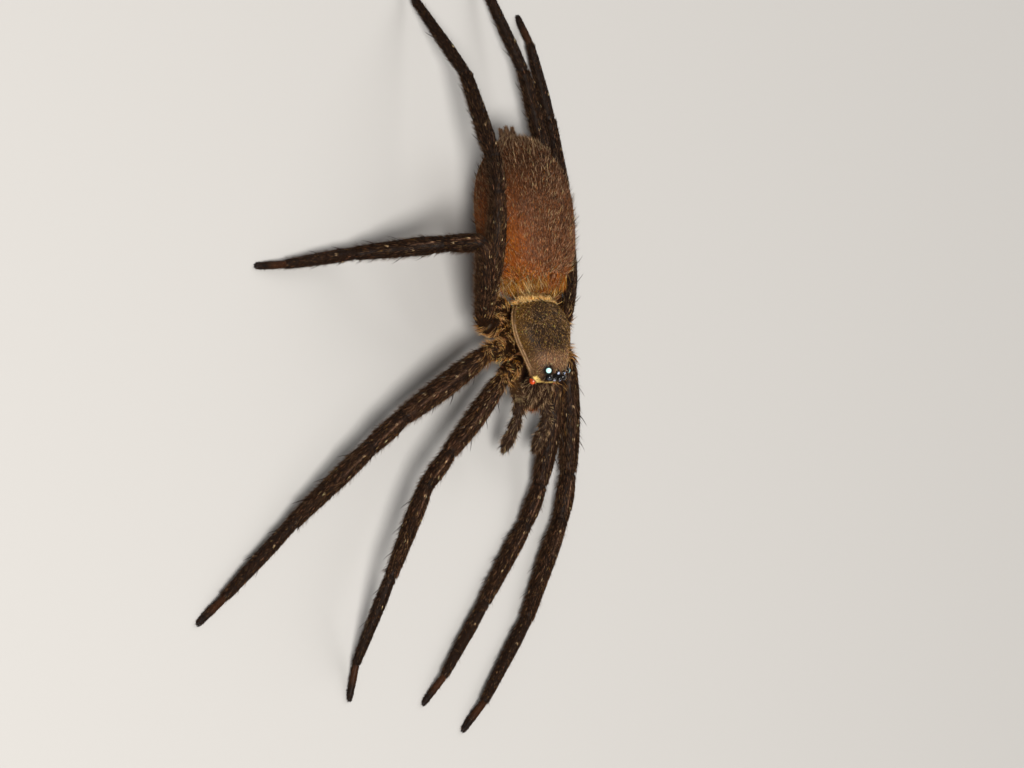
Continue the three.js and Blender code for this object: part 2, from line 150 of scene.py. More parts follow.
# Half the width of each fold's dark skin, in stations: segment numbers plus shares.
FOLD_WIDTHS = (0.03, 0.014, 0.022, 0.018, 0.016, 0.03)

# Spines: per segment the shares of its length, angles round it, lean and size.
SPINE_ROWS = {
    "femur": ((0.26, 0.5, 0.74), (62, -58), 38, 2.3),
    "tibia": ((0.2, 0.48, 0.76), (118, -122), 34, 2.6),
    "metatarsus": ((0.16, 0.5), (112, -112), 30, 2.2),
}
SPINE_RADIUS = 0.07
SPINE_SHARE = 0.8

# Hair of a leg for each stretch of stations: then density and length of the lying fur, of the
# long lying strokes and of the standing fringe.
LEG_HAIR = [
    ((0.2, 2.08), (26, (0.45, 0.8)), (26, (0.9, 1.7)), (5, (0.8, 1.4))),
    ((2.08, 3.0), (46, (0.35, 0.65)), (16, (0.8, 1.3)), (28, (0.7, 1.3))),
    ((3.0, 5.0), (48, (0.3, 0.6)), (16, (0.7, 1.1)), (24, (0.6, 1.1))),
    ((5.0, 6.0), (48, (0.3, 0.5)), (12, (0.45, 0.8)), (20, (0.4, 0.8))),
    ((6.0, 7.0), (66, (0.22, 0.4)), (14, (0.3, 0.55)), (16, (0.3, 0.5))),
]
# Stations where the leg's shaggy base ends, where the hair of the foot starts and where its
# tuft starts, and the height up to which standing hairs root.
BASE_END = 2
FOOT_START = 5.5
TUFT_START = 6.84
FRINGE_TOP = 15.2

# Pale flecks of a leg as (station, angle in degrees), besides those at the spines' roots.
LEG_FLECKS = ((2.14, 15), (2.3, -20), (2.42, 24), (2.58, -8), (2.7, 20), (2.86, -24), (3.3, 18), (3.7, -16),
              (4.12, 12), (4.34, -30), (4.62, 20), (5.3, 10))
HAIRS_PER_FLECK = 3
# Thin pale lines along the femur, knee and shank as (from station, to station, angle in degrees).
LEG_LINES = ((2.3, 2.88, 14), (2.45, 2.8, -32), (3.15, 3.85, 12), (4.08, 4.4, 10))
LINE_STEP = 0.22

CHELICERA = ((1.38, -5.5, -0.5), (1.3, -8.35, -2.75), [[0, 1.02], [0.3, 1.22], [0.7, 1.08], [1, 0.74]])
FANG = ((1.35, -8.75, -3.25), (0.55, -7.35, -4.2), [[0, 0.34], [0.3, 0.27], [0.7, 0.15], [1, 0.03]])
FANG_BOW = -0.32
BOSS_PLACE = (2.28, -5.56, -0.1)
BOSS_SIZE = 0.42
MAXILLA = ((1.5, -2.9, -2.75), (0.95, -5.55, -3.35), [[0, 0.85], [0.5, 0.95], [1, 0.6]])
LABIUM = ((0, -3.2, -3.0), (0, -4.6, -3.3), [[0, 0.62], [1, 0.45]])
PALPS = {
    "right": [(2.65, -4.55, -2.75), (3.95, -8.2, -1.45), (4.15, -9.85, -1.75), (4.05, -11.6, -2.95),
              (3.45, -13.7, -5.1)],
    "left": [(2.55, -4.55, -2.95), (2.9, -8.2, -2.2), (2.8, -9.9, -2.0), (2.55, -11.6, -2.7),
             (2.05, -13.9, -4.1)],
}
PALP_GIRTHS = [
    [[0, 0.55], [0.5, 0.78], [1, 0.66]],
    [[0, 0.66], [0.5, 0.8], [1, 0.68]],
    [[0, 0.66], [0.6, 0.82], [1, 0.72]],
    [[0, 0.68], [0.35, 0.86], [0.8, 0.66], [1, 0.42]],
]
PALP_JOINTS = [(0.16, 0.2), (0.2, 0.22), (0.16, 0.2)]
PALP_FOLD_WIDTHS = (0.05, 0.06, 0.05)
# Spines of a palp as (station, angle in degrees).
PALP_SPINES = ((0.55, 20), (0.8, -30), (1.5, 70), (1.6, -60), (2.45, 60), (2.6, -70))
PEDICEL = ((0, 4.3, -1.3), (0, 7.2, -0.7), [[0, 0.75], [1, 0.85]])
SPINNERETS = {
    "mound": ((0, 24.6, -0.1), (0, 25.9, -0.25), [[0, 1.2], [1, 0.95]]),
    "upper": ((0.58, 25.4, 0.15), (0.68, 27.0, 0.0), [[0, 0.44], [0.5, 0.4], [1, 0.26]]),
    "lower": ((0.54, 25.4, -0.6), (0.62, 26.9, -0.95), [[0, 0.48], [0.5, 0.42], [1, 0.28]]),
    "middle": ((0.2, 25.6, -0.25), (0.22, 26.5, -0.4), [[0, 0.24], [1, 0.15]]),
}

CAMERA_TURN = math.radians(5)
CAMERA_RISE = math.radians(44)
CAMERA_ROLL = math.radians(-6)
CAMERA_AIM = BODY_CENTRE + (0, 0, 0.14)
AIM_SHIFT = (-3.29, -5.95)
CAMERA_DISTANCE = 450.0
LENS, SENSOR = 60.0, 17.28


# Colours and curves

def colour(code):
    """A colour given as six hex digits, as linear numbers."""
    parts = np.array([int(code[i:i + 2], 16) for i in (0, 2, 4)]) / 255
    return np.where(parts < 0.04045, parts / 12.92, ((parts + 0.055) / 1.055) ** 2.4)


BLACK = colour("0b0807")
DARK = colour("24160e")
UMBER = colour("4a3120")
GREY_BROWN = colour("6e5640")
PINK_BROWN = colour("986f58")
OLIVE = colour("7d6030")
ORANGE_BROWN = colour("a95c17")
RUST = colour("9a4a1c")
GOLD = colour("b88a3c")
CREAM = colour("e6c68c")
PALE = colour("cfa982")
ROSE = colour("c28a68")
CLYPEUS_CREAM = colour("e6c878")
BOSS_ORANGE = colour("c8481c")


def smooth(low, high, value):
    """Rises from 0 at low to 1 at high."""
    t = np.clip((value - low) / (high - low), 0, 1)
    return t * t * (3 - 2 * t)


def bump(value, width):
    """1 where value is 0, fading within width."""
    return np.exp(-(value / width) ** 2)


def layered(ground, *layers):
    """The ground turned to the colour of each layer (colour, share)."""
    for tone, share in layers:
        share = np.reshape(share, (-1, 1))
        ground = ground * (1 - share) + tone * share
    return ground


def ripple(points, scale, phase=0.0):
    """A soft uneven value from -1 to 1 over points."""
    x, y, z = (points * scale + phase).T
    waves = np.sin(x + 1.7 * np.sin(y * 0.9 + 1.3)) + np.sin(y * 1.3 + 2.1 * np.sin(z))
    return (waves + np.sin(z * 1.1 + 1.9 * np.sin(x * 0.7 + 0.4))) / 3


def uneven(points, depth, scale):
    """A factor for colours that varies softly over points."""
    return (1 + depth * ripple(points, scale))[:, None]


def spline(table, column=1):
    """Smooth curve through a table of rows that start with a place."""
    place, value = np.array(table, float)[:, [0, column]].T
    count = len(place)
    before = np.maximum(np.arange(count) - 1, 0)
    after = np.minimum(np.arange(count) + 1, count - 1)
    slope = (value[after] - value[before]) / (place[after] - place[before])

    def curve(where):
        where = np.asarray(where, float)
        i = np.clip(np.searchsorted(place, where, side="left") - 1, 0, count - 2)
        width = place[i + 1] - place[i]
        u = np.clip((where - place[i]) / width, 0, 1)
        rise = (value[i + 1] - value[i]) * u * u * (3 - 2 * u)
        return value[i] + rise + u * (1 - u) ** 2 * slope[i] * width - u * u * (1 - u) * slope[i + 1] * width

    return curve


def less(curve, inset):
    """The curve, lower by the depth of the coat."""
    return lambda y: curve(y) - inset


def turn_matrix():
    c, s = math.cos(BODY_ROLL), math.sin(BODY_ROLL)
    roll = np.array([[c, 0, s], [0, 1, 0], [-s, 0, c]])
    c, s = math.cos(BODY_SLOPE), math.sin(BODY_SLOPE)
    return roll @ np.array([[1, 0, 0], [0, c, -s], [0, s, c]])


BODY_TURN = turn_matrix()


def body_point(point, side=1):
    return BODY_TURN @ (np.array(point, float) * (side, 1, 1)) + BODY_CENTRE


def unit(vectors):
    return vectors / np.maximum(np.linalg.norm(vectors, axis=-1, keepdims=True), 1e-9)


# Forms

class Form:
    """A closed surface of rings along a line. u runs from 0 to 1 along it and angle goes round it
    from the upper side. Each row holds a ring's centre, its directions above and across, its
    height above and below and its half width, and then the station where there is one."""

    def __init__(self, rows, power=1.0, relief=None, in_body=False, tile=(0.0, 1.0)):
        self.rows, self.power, self.relief, self.in_body, self.tile = rows, power, relief, in_body, tile

    def row(self, u):
        place = np.clip(u, 0, 1) * (len(self.rows) - 1)
        i = np.minimum(place.astype(int), len(self.rows) - 2)
        return self.rows[i] + (self.rows[i + 1] - self.rows[i]) * (place - i)[:, None]

    def u_at(self, station):
        return np.interp(station, self.rows[:, 12], np.linspace(0, 1, len(self.rows)))

    def own_point(self, u, angle):
        """Places in the form's own frame."""
        row = self.row(u)
        s, c = np.sin(angle), np.cos(angle)
        side = np.sign(s) * np.abs(s) ** self.power
        rise = np.sign(c) * np.abs(c) ** self.power
        height = np.where(rise > 0, row[:, 9], row[:, 10])
        out = row[:, 3:6] * (rise * height)[:, None] + row[:, 6:9] * (side * row[:, 11])[:, None]
        place = row[:, :3] + out
        if self.relief is not None:
            size = np.linalg.norm(out, axis=1)
            place = place + out * (self.relief(place) / np.maximum(size, 0.3))[:, None]
        return place

    def placed(self, points):
        return points @ BODY_TURN.T + BODY_CENTRE if self.in_body else points

    def point(self, u, angle):
        return self.placed(self.own_point(u, angle))

    def frame(self, u, angle):
        """Outward normal and the directions along and round the form."""
        du, da = 4e-4, 4e-3
        along = self.point(np.minimum(u + du, 1), angle) - self.point(np.maximum(u - du, 0), angle)
        around = self.point(u, angle + da) - self.point(u, angle - da)
        normal = unit(np.cross(around, along))
        along = unit(along)
        return normal, along, np.cross(normal, along)

    def map_place(self, u, angle):
        """Place on the unwrap of the form: round it across the tile, and along it upwards."""
        low, high = self.tile
        return np.c_[low + (high - low) * (0.01 + 0.98 * angle / (2 * np.pi)), 0.004 + 0.99 * u]


class Spots:
    """Places on a form: own and x, y, z are in its own frame, and top is 1 above and -1 below."""

    def __init__(self, form, u, angle):
        self.form, self.u, self.angle = form, u, angle
        self.own = form.own_point(u, angle)
        self.x, self.y, self.z = self.own.T
        self.top = np.cos(angle)

    @property
    def station(self):
        return self.form.row(self.u)[:, 12]


def ring_form(table, inset, half, top, bottom, middle, rings, power=1.0, relief=None, bulge=0.2,
              even=False, tile=(0.0, 1.0)):
    """A form along the body's Y with domed ends; half, top and bottom are curves of y."""
    front, back = table[0][0] + inset, table[-1][0] - inset
    share = np.linspace(0, 1, rings)
    if not even:
        share = 0.5 - 0.5 * np.cos(np.pi * share)
    cap = np.linspace(0, np.pi / 2, 14)[:-1]
    grow = np.r_[np.sin(cap), np.ones(rings), np.sin(cap)[::-1]]
    y = front + (back - front) * share
    where = np.r_[np.full(len(cap), front), y, np.full(len(cap), back)]
    y = np.r_[front - bulge * np.cos(cap), y, back + bulge * np.cos(cap)[::-1]]
    up, down = top(where), bottom(where)
    zero, one = np.zeros(len(y)), np.ones(len(y))
    rows = np.c_[zero, y, middle + (up - down) * 0.5 * (1 - grow), zero, zero, one, one, zero, zero,
                 up * grow, down * grow, half(where) * grow]
    return Form(rows, power, relief, True, tile)


def line_frame(start, end):
    """Directions above, across and ahead for a line, as the solids' segments have them."""
    ahead = unit(np.array(end, float) - np.array(start, float))
    above = unit(np.array([0, 0, 1.0]) - ahead * ahead[2])
    return above, np.cross(ahead, above), ahead


class Path:
    """A line of straight segments with rounded corners, bows and a girth for each segment."""

    def __init__(self, points, girths, scale, bows, joints, coat):
        self.points = [np.array(p, float) for p in points]
        self.lengths = [np.linalg.norm(b - a) for a, b in zip(self.points, self.points[1:])]
        self.frames = [line_frame(a, b) for a, b in zip(self.points, self.points[1:])]
        self.radii = [spline(table) for table in girths]
        self.scale, self.bows, self.joints, self.coat = scale, bows, joints, coat

    def corner(self, joint):
        """How far from a joint its rounding starts."""
        short = min(self.lengths[joint - 1], self.lengths[joint])
        return min(0.36 * short, 1.05 * self.scale * float(self.radii[joint](0)) + 0.25)

    def near_joints(self, segment, share):
        """The joints at the ends of a segment, each with the way to it and its side of it."""
        length = self.lengths[segment]
        for joint, gap, sign in ((segment, share * length, 1), (segment + 1, (1 - share) * length, -1)):
            if 1 <= joint < len(self.lengths):
                yield joint, gap, sign

    def centre(self, segment, share):
        """The point and direction at a share of a segment."""
        a, b = self.points[segment], self.points[segment + 1]
        above, _, ahead = self.frames[segment]
        point, direction = a + (b - a) * share, ahead
        for joint, gap, sign in self.near_joints(segment, share):
            reach = self.corner(joint)
            if gap < reach:
                w = 0.5 + sign * gap / (2 * reach)
                corner = self.points[joint]
                first = corner - self.frames[joint - 1][2] * reach
                last = corner + self.frames[joint][2] * reach
                point = (1 - w) ** 2 * first + 2 * w * (1 - w) * corner + w * w * last
                direction = unit((1 - w) * (corner - first) + w * (last - corner))
        return point + above * 4 * self.bows[segment] * share * (1 - share), direction

    def radius(self, segment, share):
        """Skin radius, folded at the joints, with a lip on each side of a fold."""
        factor = 1.0
        for joint, gap, _ in self.near_joints(segment, share):
            depth, width = self.joints[joint - 1]
            factor -= depth * math.exp(-(gap / width) ** 2)
            factor += 0.035 * math.exp(-((gap - 2.1 * width) / (0.8 * width)) ** 2)
        return (float(self.radii[segment](share)) * self.scale - self.coat) * factor

    def form(self, start_dome, end_dome, tile=(0.0, 1.0), fine=0.075, coarse=0.3):
        """The form along the path; its station is segment number plus share."""
        stations = []
        for segment, length in enumerate(self.lengths):
            gap = 0.0
            while gap < length - 0.001:
                stations.append(segment + gap / length)
                gap += fine if min(gap, length - gap) < 0.9 else coarse
        stations.append(len(self.lengths) - 1e-6)
        rows = []
        for station in stations:
            segment = int(station)
            point, direction = self.centre(segment, station - segment)
            rows.append([station, *point, *direction, self.radius(segment, station - segment)])
        dome = np.linspace(0, np.pi / 2, 9)[:-1]
        caps = []
        for end, length in ((np.array(rows[0]), -start_dome), (np.array(rows[-1]), end_dome)):
            cap = np.tile(end, (len(dome), 1))
            cap[:, 1:4] += end[4:7] * length * np.cos(dome)[:, None]
            cap[:, 7] *= np.sin(dome)
            caps.append(cap)
        rows = np.vstack([caps[0], rows, caps[1][::-1]])
        ahead, radius = rows[:, 4:7], rows[:, 7]
        above = unit(np.array([0, 0, 1.0]) - ahead * ahead[:, 2:])
        across = np.cross(ahead, above)
        return Form(np.c_[rows[:, 1:4], above, across, radius, radius, radius, rows[:, 0]], tile=tile)


def body_path(start, end, girth, coat, side=1, bow=0.0):
    """A path of one segment in the body frame."""
    return Path([body_point(start, side), body_point(end, side)], [girth], 1.0, [bow], [], coat)


def strip(number, count):
    """One of count upright strips of the unwrap."""
    return number / count, (number + 1) / count


# Pieces

def link_object(name, data):
    obj = bpy.data.objects.new(name, data)
    bpy.context.scene.collection.objects.link(obj)
    return obj


def new_object(name, mesh, material):
    mesh.materials.append(material)
    return link_object(name, mesh)


def finish_piece(name, mesh, material, nodes=()):
    """Puts a made mesh on its body, under its finish, in place of its solids."""
    obj = new_object(name, mesh, material)
    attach(obj, "root")
    if nodes:
        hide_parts(*nodes)


def set_tint(mesh, tint):
    layer = mesh.attributes.new("Tint", "FLOAT_COLOR", "POINT")
    layer.data.foreach_set("color", np.c_[tint, np.ones(len(tint))].astype(np.float32).ravel())


def smooth_mesh(name, bm):
    for face in bm.faces:
        face.smooth = True
    mesh = bpy.data.meshes.new(name)
    bm.to_mesh(mesh)
    bm.free()
    return mesh


def make_skin(name, parts, material, nodes):
    """One mesh from grids rolled up over forms; parts are (form, rings, sides, paint)."""
    whole = bmesh.new()
    for form, rings, sides, paint in parts:
        grid = bmesh.new()
        grid.loops.layers.uv.new("OFBake")
        bmesh.ops.create_grid(grid, x_segments=sides, y_segments=rings, size=0.5, calc_uvs=True)
        sheet = bpy.data.meshes.new("sheet")
        grid.to_mesh(sheet)
        grid.free()
        flat = np.empty(len(sheet.vertices) * 3, np.float32)
        sheet.vertices.foreach_get("co", flat)
        x, y, _ = flat.reshape(-1, 3).astype(float).T
        at = Spots(form, y + 0.5, 2 * np.pi * (x + 0.5))
        corner = np.empty(len(sheet.loops), np.int32)
        sheet.loops.foreach_get("vertex_index", corner)
        sheet.uv_layers["OFBake"].data.foreach_set(
            "uv", form.map_place(at.u, at.angle)[corner].astype(np.float32).ravel())
        placed = form.placed(at.own) * MM
        placed[:, 2] = np.maximum(placed[:, 2], FLOOR_GAP * MM)
        sheet.vertices.foreach_set("co", placed.astype(np.float32).ravel())
        set_tint(sheet, paint(at))
        whole.from_mesh(sheet)
        bpy.data.meshes.remove(sheet)
    bmesh.ops.remove_doubles(whole, verts=whole.verts, dist=1e-6)
    bmesh.ops.dissolve_degenerate(whole, edges=whole.edges, dist=1e-7)
    bmesh.ops.recalc_face_normals(whole, faces=whole.faces)
    finish_piece(name, smooth_mesh(name, whole), material, nodes)


def leaning(flat, normal, angle):
    return flat * np.cos(angle)[:, None] + normal * np.sin(angle)[:, None]


class Strands:
    """Grows tapered strands of a few sides and turns them into one mesh."""

    def __init__(self, random=None):
        self.random = random
        self.places, self.faces, self.tints, self.maps = [], [], [], []
        self.count = 0

    def add(self, centres, widths, side, lift, tints, maps, sides):
        """centres (n, k + 1, 3) end in the tip; widths (n, k) are radii; tints as centres."""
        n, k = widths.shape
        turn = np.arange(sides)[:, None] * 2 * np.pi / sides
        ring = side[:, None] * np.cos(turn) + lift[:, None] * np.sin(turn)
        body = centres[:, :k, None] + ring[:, None] * widths[:, :, None, None]
        points = np.concatenate([body.reshape(n, k * sides, 3), centres[:, k:]], axis=1)
        points[:, :, 2] = np.maximum(points[:, :, 2], FLOOR_GAP)
        tint = np.concatenate([np.repeat(tints[:, :k], sides, axis=1), tints[:, k:]], axis=1)
        share = np.repeat(np.arange(k) / k, sides)
        across = np.tile((np.arange(sides) / (sides - 1) - 0.5), k)
        patch = np.c_[0.0026 * across * (1 - 0.5 * share), 0.0028 * share + 0.0004 * (np.abs(across) < 0.3)]
        patch = np.vstack([patch, [0.0002, 0.003]])
        faces = [(0, i + 1, i) for i in range(1, sides - 1)]
        last = (k - 1) * sides
        for low in range(0, last, sides):
            for i in range(sides):
                a, b = low + i, low + (i + 1) % sides
                faces += [(a, b, b + sides), (a, b + sides, a + sides)]
        faces += [(last + i, last + (i + 1) % sides, k * sides) for i in range(sides)]
        per = k * sides + 1
        start = self.count + np.arange(n) * per
        self.faces.append((start[:, None, None] + np.array(faces)).reshape(-1, 3))
        self.places.append(points.reshape(-1, 3))
        self.tints.append(tint.reshape(-1, 3))
        self.maps.append((maps[:, None] + patch).reshape(-1, 2))
        self.count += n * per

    def between(self, ends, count):
        """Random values between the two ends."""
        return ends[0] + (ends[1] - ends[0]) * self.random.random(count)

    def grow(self, form, u, angle, length, width, lift, curl=1.0, lie=None, spread=14, tint=None,
             rings=1, sides=3, power=0.8):
        """Strands from roots: length and lift are (least, most), curl is the tip's share of the lift
        and lie turns them from along the form."""
        n, random = len(u), self.random
        at = Spots(form, u, angle)
        root = form.placed(at.own)
        normal, along, around = form.frame(u, angle)
        heading = np.radians(spread) * random.standard_normal(n)
        if lie is not None:
            heading = heading + lie(at)
        heading = heading + 0.22 * ripple(root, 1.7)
        flat = along * np.cos(heading)[:, None] + around * np.sin(heading)[:, None]
        size = self.between(length, n)[:, None, None]
        up = np.radians(self.between(lift, n))
        start, end = leaning(flat, normal, up), leaning(flat, normal, up * curl)
        t = np.linspace(0, 1, rings + 1)
        share = t[:, None]
        centres = (root - normal * ROOT_DEPTH)[:, None] + size * (
            start[:, None] * share + (end - start)[:, None] * share ** 2 / 2)
        radii = np.outer(width * (0.75 + 0.5 * random.random(n)) / 2, (1 - t[:rings]) ** power)
        side = np.cross(normal, flat)
        root_tint, tip_tint = tint(at, random)
        blend = (t ** 0.8)[:, None]
        tints = root_tint[:, None] * (1 - blend) + tip_tint[:, None] * blend
        self.add(centres, radii, side, np.cross(start, side), tints, form.map_place(u, angle), sides)

    def scatter(self, form, density, weight, reach):
        """Roots as u and angle, at density per square mm times the weight of their place."""
        cells_u, cells_a = 420, 56
        u = np.linspace(reach[0], reach[1], cells_u + 1)
        a = np.linspace(0, 2 * np.pi, cells_a + 1)
        mid_u, mid_a = (u[1:] + u[:-1]) / 2, (a[1:] + a[:-1]) / 2
        grid_u, grid_a = (g.ravel() for g in np.meshgrid(mid_u, mid_a, indexing="ij"))
        step_u, step_a = u[1] - u[0], a[1] - a[0]
        along = form.point(grid_u + step_u / 2, grid_a) - form.point(grid_u - step_u / 2, grid_a)
        around = form.point(grid_u, grid_a + step_a / 2) - form.point(grid_u, grid_a - step_a / 2)
        share = np.linalg.norm(np.cross(along, around), axis=1)
        share = share * np.clip(weight(Spots(form, grid_u, grid_a)), 0, None)
        count = int(density * share.sum() * (1.0))
        pick = self.random.choice(len(share), count, p=share / share.sum())
        return (np.clip(grid_u[pick] + (self.random.random(count) - 0.5) * step_u, 0, 1),
                grid_a[pick] + (self.random.random(count) - 0.5) * step_a)

    def plant(self, form, density, weight, *size, reach=(0.0, 1.0), only=None, **look):
        """Grows strands from scattered roots; only is a share to keep, finer than weight can be."""
        u, angle = self.scatter(form, density, weight, reach)
        if only is not None:
            keep = self.random.random(len(u)) < only(Spots(form, u, angle))
            u, angle = u[keep], angle[keep]
        self.grow(form, u, angle, *size, **look)

    def build(self, name, material):
        places = np.concatenate(self.places) * MM
        faces = np.concatenate(self.faces).astype(np.int32)
        mesh = bpy.data.meshes.new(name)
        mesh.vertices.add(len(places))
        mesh.vertices.foreach_set("co", places.astype(np.float32).ravel())
        mesh.loops.add(faces.size)
        mesh.loops.foreach_set("vertex_index", faces.ravel())
        mesh.polygons.add(len(faces))
        mesh.polygons.foreach_set("loop_start", np.arange(0, faces.size, 3, dtype=np.int32))
        mesh.update(calc_edges=True)
        mesh.polygons.foreach_set("use_smooth", np.ones(len(faces), bool))
        uv = np.clip(np.concatenate(self.maps)[faces.ravel()], 0, 1)
        mesh.uv_layers.new(name="OFBake").data.foreach_set("uv", uv.astype(np.float32).ravel())
        set_tint(mesh, np.clip(np.concatenate(self.tints), 0, 1))
        finish_piece(name, mesh, material)


def everywhere(at):
    return np.ones(len(at.u))


def shades(random, count, *choices):
    """Rows picked from (share, colour) pairs, each made lighter or darker."""
    shares = np.array([c[0] for c in choices], float)
    pick = random.choice(len(choices), count, p=shares / shares.sum())
    level = np.exp(0.3 * random.standard_normal(count))
    return np.array([c[1] for c in choices])[pick] * level[:, None]


def plain_tint(root, tip):
    """Strand colours from the root's choices to the tip's."""
    return lambda at, random: (shades(random, len(at.u), *root), shades(random, len(at.u), *tip))


def hair_colours(random, ground, choices, share, pale, pale_choices, root=0.4, tip=1.5, contrast=0.3):
    """Root and tip colours: the ground turned to the choices by share, with some pale tips. The roots are
    darkened by the root factor, painted shade deep in the coat.
    """
    count = len(ground)
    hair = layered(ground, (shades(random, count, *choices), share))
    hair = hair * np.exp(contrast * random.standard_normal(count))[:, None]
    tips = hair * tip
    light = random.random(count) < pale
    tips[light] = shades(random, int(light.sum()), *pale_choices)
    return hair * root, tips


DARK_BRISTLE = plain_tint([(1, DARK)], [(3, UMBER), (2, GREY_BROWN)])
PALE_HAIR = plain_tint([(2, GREY_BROWN), (1, UMBER)], [(3, PALE), (1, CREAM)])
BRUSH = plain_tint([(1, DARK)], [(2, colour("3d3a3d")), (1, UMBER)])
LINE_TINT = plain_tint([(1, GREY_BROWN)], [(1, PALE), (2, PINK_BROWN)])
FLECK_TINT = plain_tint([(1, PALE)], [(2, CREAM * 1.2), (1, PALE)])
SPINE_LOOK = {"tint": plain_tint([(1, BLACK * 1.6)], [(1, DARK)]), "sides": 6, "power": 0.7}


# Materials

def set_inputs(node, values):
    for name, value in values.items():
        node.inputs[name].default_value = value


def plain_material(name, values):
    material = bpy.data.materials.new(name)
    material.use_nodes = True
    shader = material.node_tree.nodes["Principled BSDF"]
    set_inputs(shader, values)
    return material, shader


def tinted(name, roughness, scale, depth, fine_scale, fine_depth, coat=0.0, specular=0.4,
           coat_roughness=0.2, glow=0.0):
    """A finish that takes its colour from the piece's Tint, varied by soft and fine noise."""
    material, shader = plain_material(name, {"Roughness": roughness, "Specular IOR Level": specular,
                                             "Coat Weight": coat, "Coat Roughness": coat_roughness})
    nodes, links = material.node_tree.nodes, material.node_tree.links

    def add(kind, values):
        node = nodes.new("ShaderNode" + kind)
        set_inputs(node, values)
        return node

    tint = add("Attribute", {})
    tint.attribute_name = "Tint"
    place = add("TexCoord", {})
    noise = add("TexNoise", {"Scale": scale, "Detail": 4})
    spread = add("MapRange", {"From Min": 0.3, "From Max": 0.7, "To Min": 1 - depth, "To Max": 1 + depth})
    shade = add("VectorMath", {})
    shade.operation = "SCALE"
    fine = add("TexNoise", {"Scale": fine_scale, "Detail": 3})
    relief = add("Bump", {"Strength": fine_depth, "Distance": 0.04 * MM})
    links.new(place.outputs["Object"], noise.inputs["Vector"])
    links.new(noise.outputs["Fac"], spread.inputs["Value"])
    links.new(tint.outputs["Color"], shade.inputs[0])
    links.new(spread.outputs["Result"], shade.inputs["Scale"])
    links.new(shade.outputs["Vector"], shader.inputs["Base Color"])
    links.new(place.outputs["Object"], fine.inputs["Vector"])
    links.new(fine.outputs["Fac"], relief.inputs["Height"])
    links.new(relief.outputs["Normal"], shader.inputs["Normal"])
    if glow:
        links.new(tint.outputs["Color"], shader.inputs["Emission Color"])
        set_inputs(shader, {"Emission Strength": glow})
    return material


SKIN = tinted("cuticle_skin", 0.55, 900, 0.18, 9000, 0.5, specular=0.12)
SHELL = tinted("carapace_skin", 0.55, 700, 0.2, 7000, 0.5, specular=0.12)
JAW = tinted("jaw_skin", 0.6, 900, 0.2, 6000, 0.4, specular=0.08)
COAT = tinted("short_hair", 0.7, 1500, 0.12, 20000, 0.0, specular=0.05)
HORN = tinted("dark_horn", 0.4, 1200, 0.25, 9000, 0.25, coat=0.1, specular=0.25)
BOSS = tinted("boss_gloss", 0.25, 1200, 0.15, 8000, 0.2, coat=0.4)
# The lenses glow with their tint, so their painted glints and eyeshine give off light though an eye is no
# lamp.
GLOWING_EYE = tinted("eye_lens_glow", 0.1, 2500, 0.12, 9000, 0.02, coat=0.5, specular=0.3, coat_roughness=0.03, glow=0.35)


# Carapace

def eye_rows():
    """Every eye as its kind, side, centre in the body frame and radius."""
    for kind, (centre, radius, *_) in EYES.items():
        for side_name, side in SIDES.items():
            yield kind, side_name, np.array(centre) * (side, 1, 1), radius


def eye_nearness(own, reach):
    """1 at an eye's edge and inside it, fading over reach times its radius."""
    near = np.zeros(len(own))
    for _, _, centre, radius in eye_rows():
        gap = np.linalg.norm(own - centre, axis=1) - radius
        near = np.maximum(near, np.exp(-np.maximum(gap, 0) / (reach * radius)))
    return near


def carapace_relief(own):
    """Fovea, the faint grooves that run out from it, the edge rim and the eye mounds."""
    x, y, z = own.T
    out_y = y - FOVEA_Y
    reach = np.hypot(x, out_y)
    heading = np.degrees(np.arctan2(np.abs(x), -out_y))
    depth = 0.2 * bump(x, 0.22) * smooth(0.5, 1.0, y) * smooth(2.8, 2.2, y)
    for groove, strength in GROOVES:
        fade = smooth(0.6, 1.5, reach) * smooth(5.2, 3.6, reach)
        depth = depth + strength * bump(heading - groove, 8) * fade
    rim = 0.07 * bump(z - 0.1, 0.12) - 0.05 * bump(z - 0.42, 0.12)
    return -depth * smooth(0.3, 1.0, z) + rim * smooth(-5.4, -4.6, y) + 0.16 * eye_nearness(own, 0.7)


def margin_lines(at):
    """Share of the two thin pale lines along the carapace's edge."""
    lines = bump(at.z - 0.08, 0.055) + 0.9 * bump(at.z - 0.5, 0.06)
    return np.clip(lines * smooth(-5.0, -4.2, at.y) * smooth(4.9, 4.6, at.y), 0, 1)


def carapace_marks(at):
    """Shares of rear band, face band and eye surround over the carapace."""
    x, y, z = at.own.T
    band = smooth(4.45, 4.7, y + 0.12 * np.sin(x * 7) + 0.08 * np.abs(x)) * smooth(0.0, 0.3, z)
    wavy = z + 0.06 * np.sin(x * 9)
    face = smooth(-5.0, -5.2, y) * smooth(0.3, 0.45, wavy) * smooth(1.55, 1.35, wavy + 0.2 * np.abs(x))
    eyes = np.clip(eye_nearness(at.own, 0.6) * 1.6, 0, 1)
    between = smooth(-4.9, -5.1, y) * smooth(1.4, 1.6, z) * smooth(2.1, 1.8, np.abs(x))
    return band, face, np.maximum(eyes, between)


def carapace_ground(at):
    """Ground colour: dark behind, olive on the flanks and pinkish tan on the head."""
    head = smooth(-1.2, -3.6, at.y)
    flank = smooth(2.6, 0.8, at.z)
    rear = smooth(2.6, 4.2, at.y) * smooth(2.4, 1.0, np.abs(at.x))
    ground = layered(colour("402c1b"), (colour("875f2a"), 0.85 * flank),
                     (colour("b98a68"), 0.88 * head * (1 - 0.5 * flank)), (colour("35241a"), 0.5 * rear))
    return ground * uneven(at.own, 0.14, 1.1)


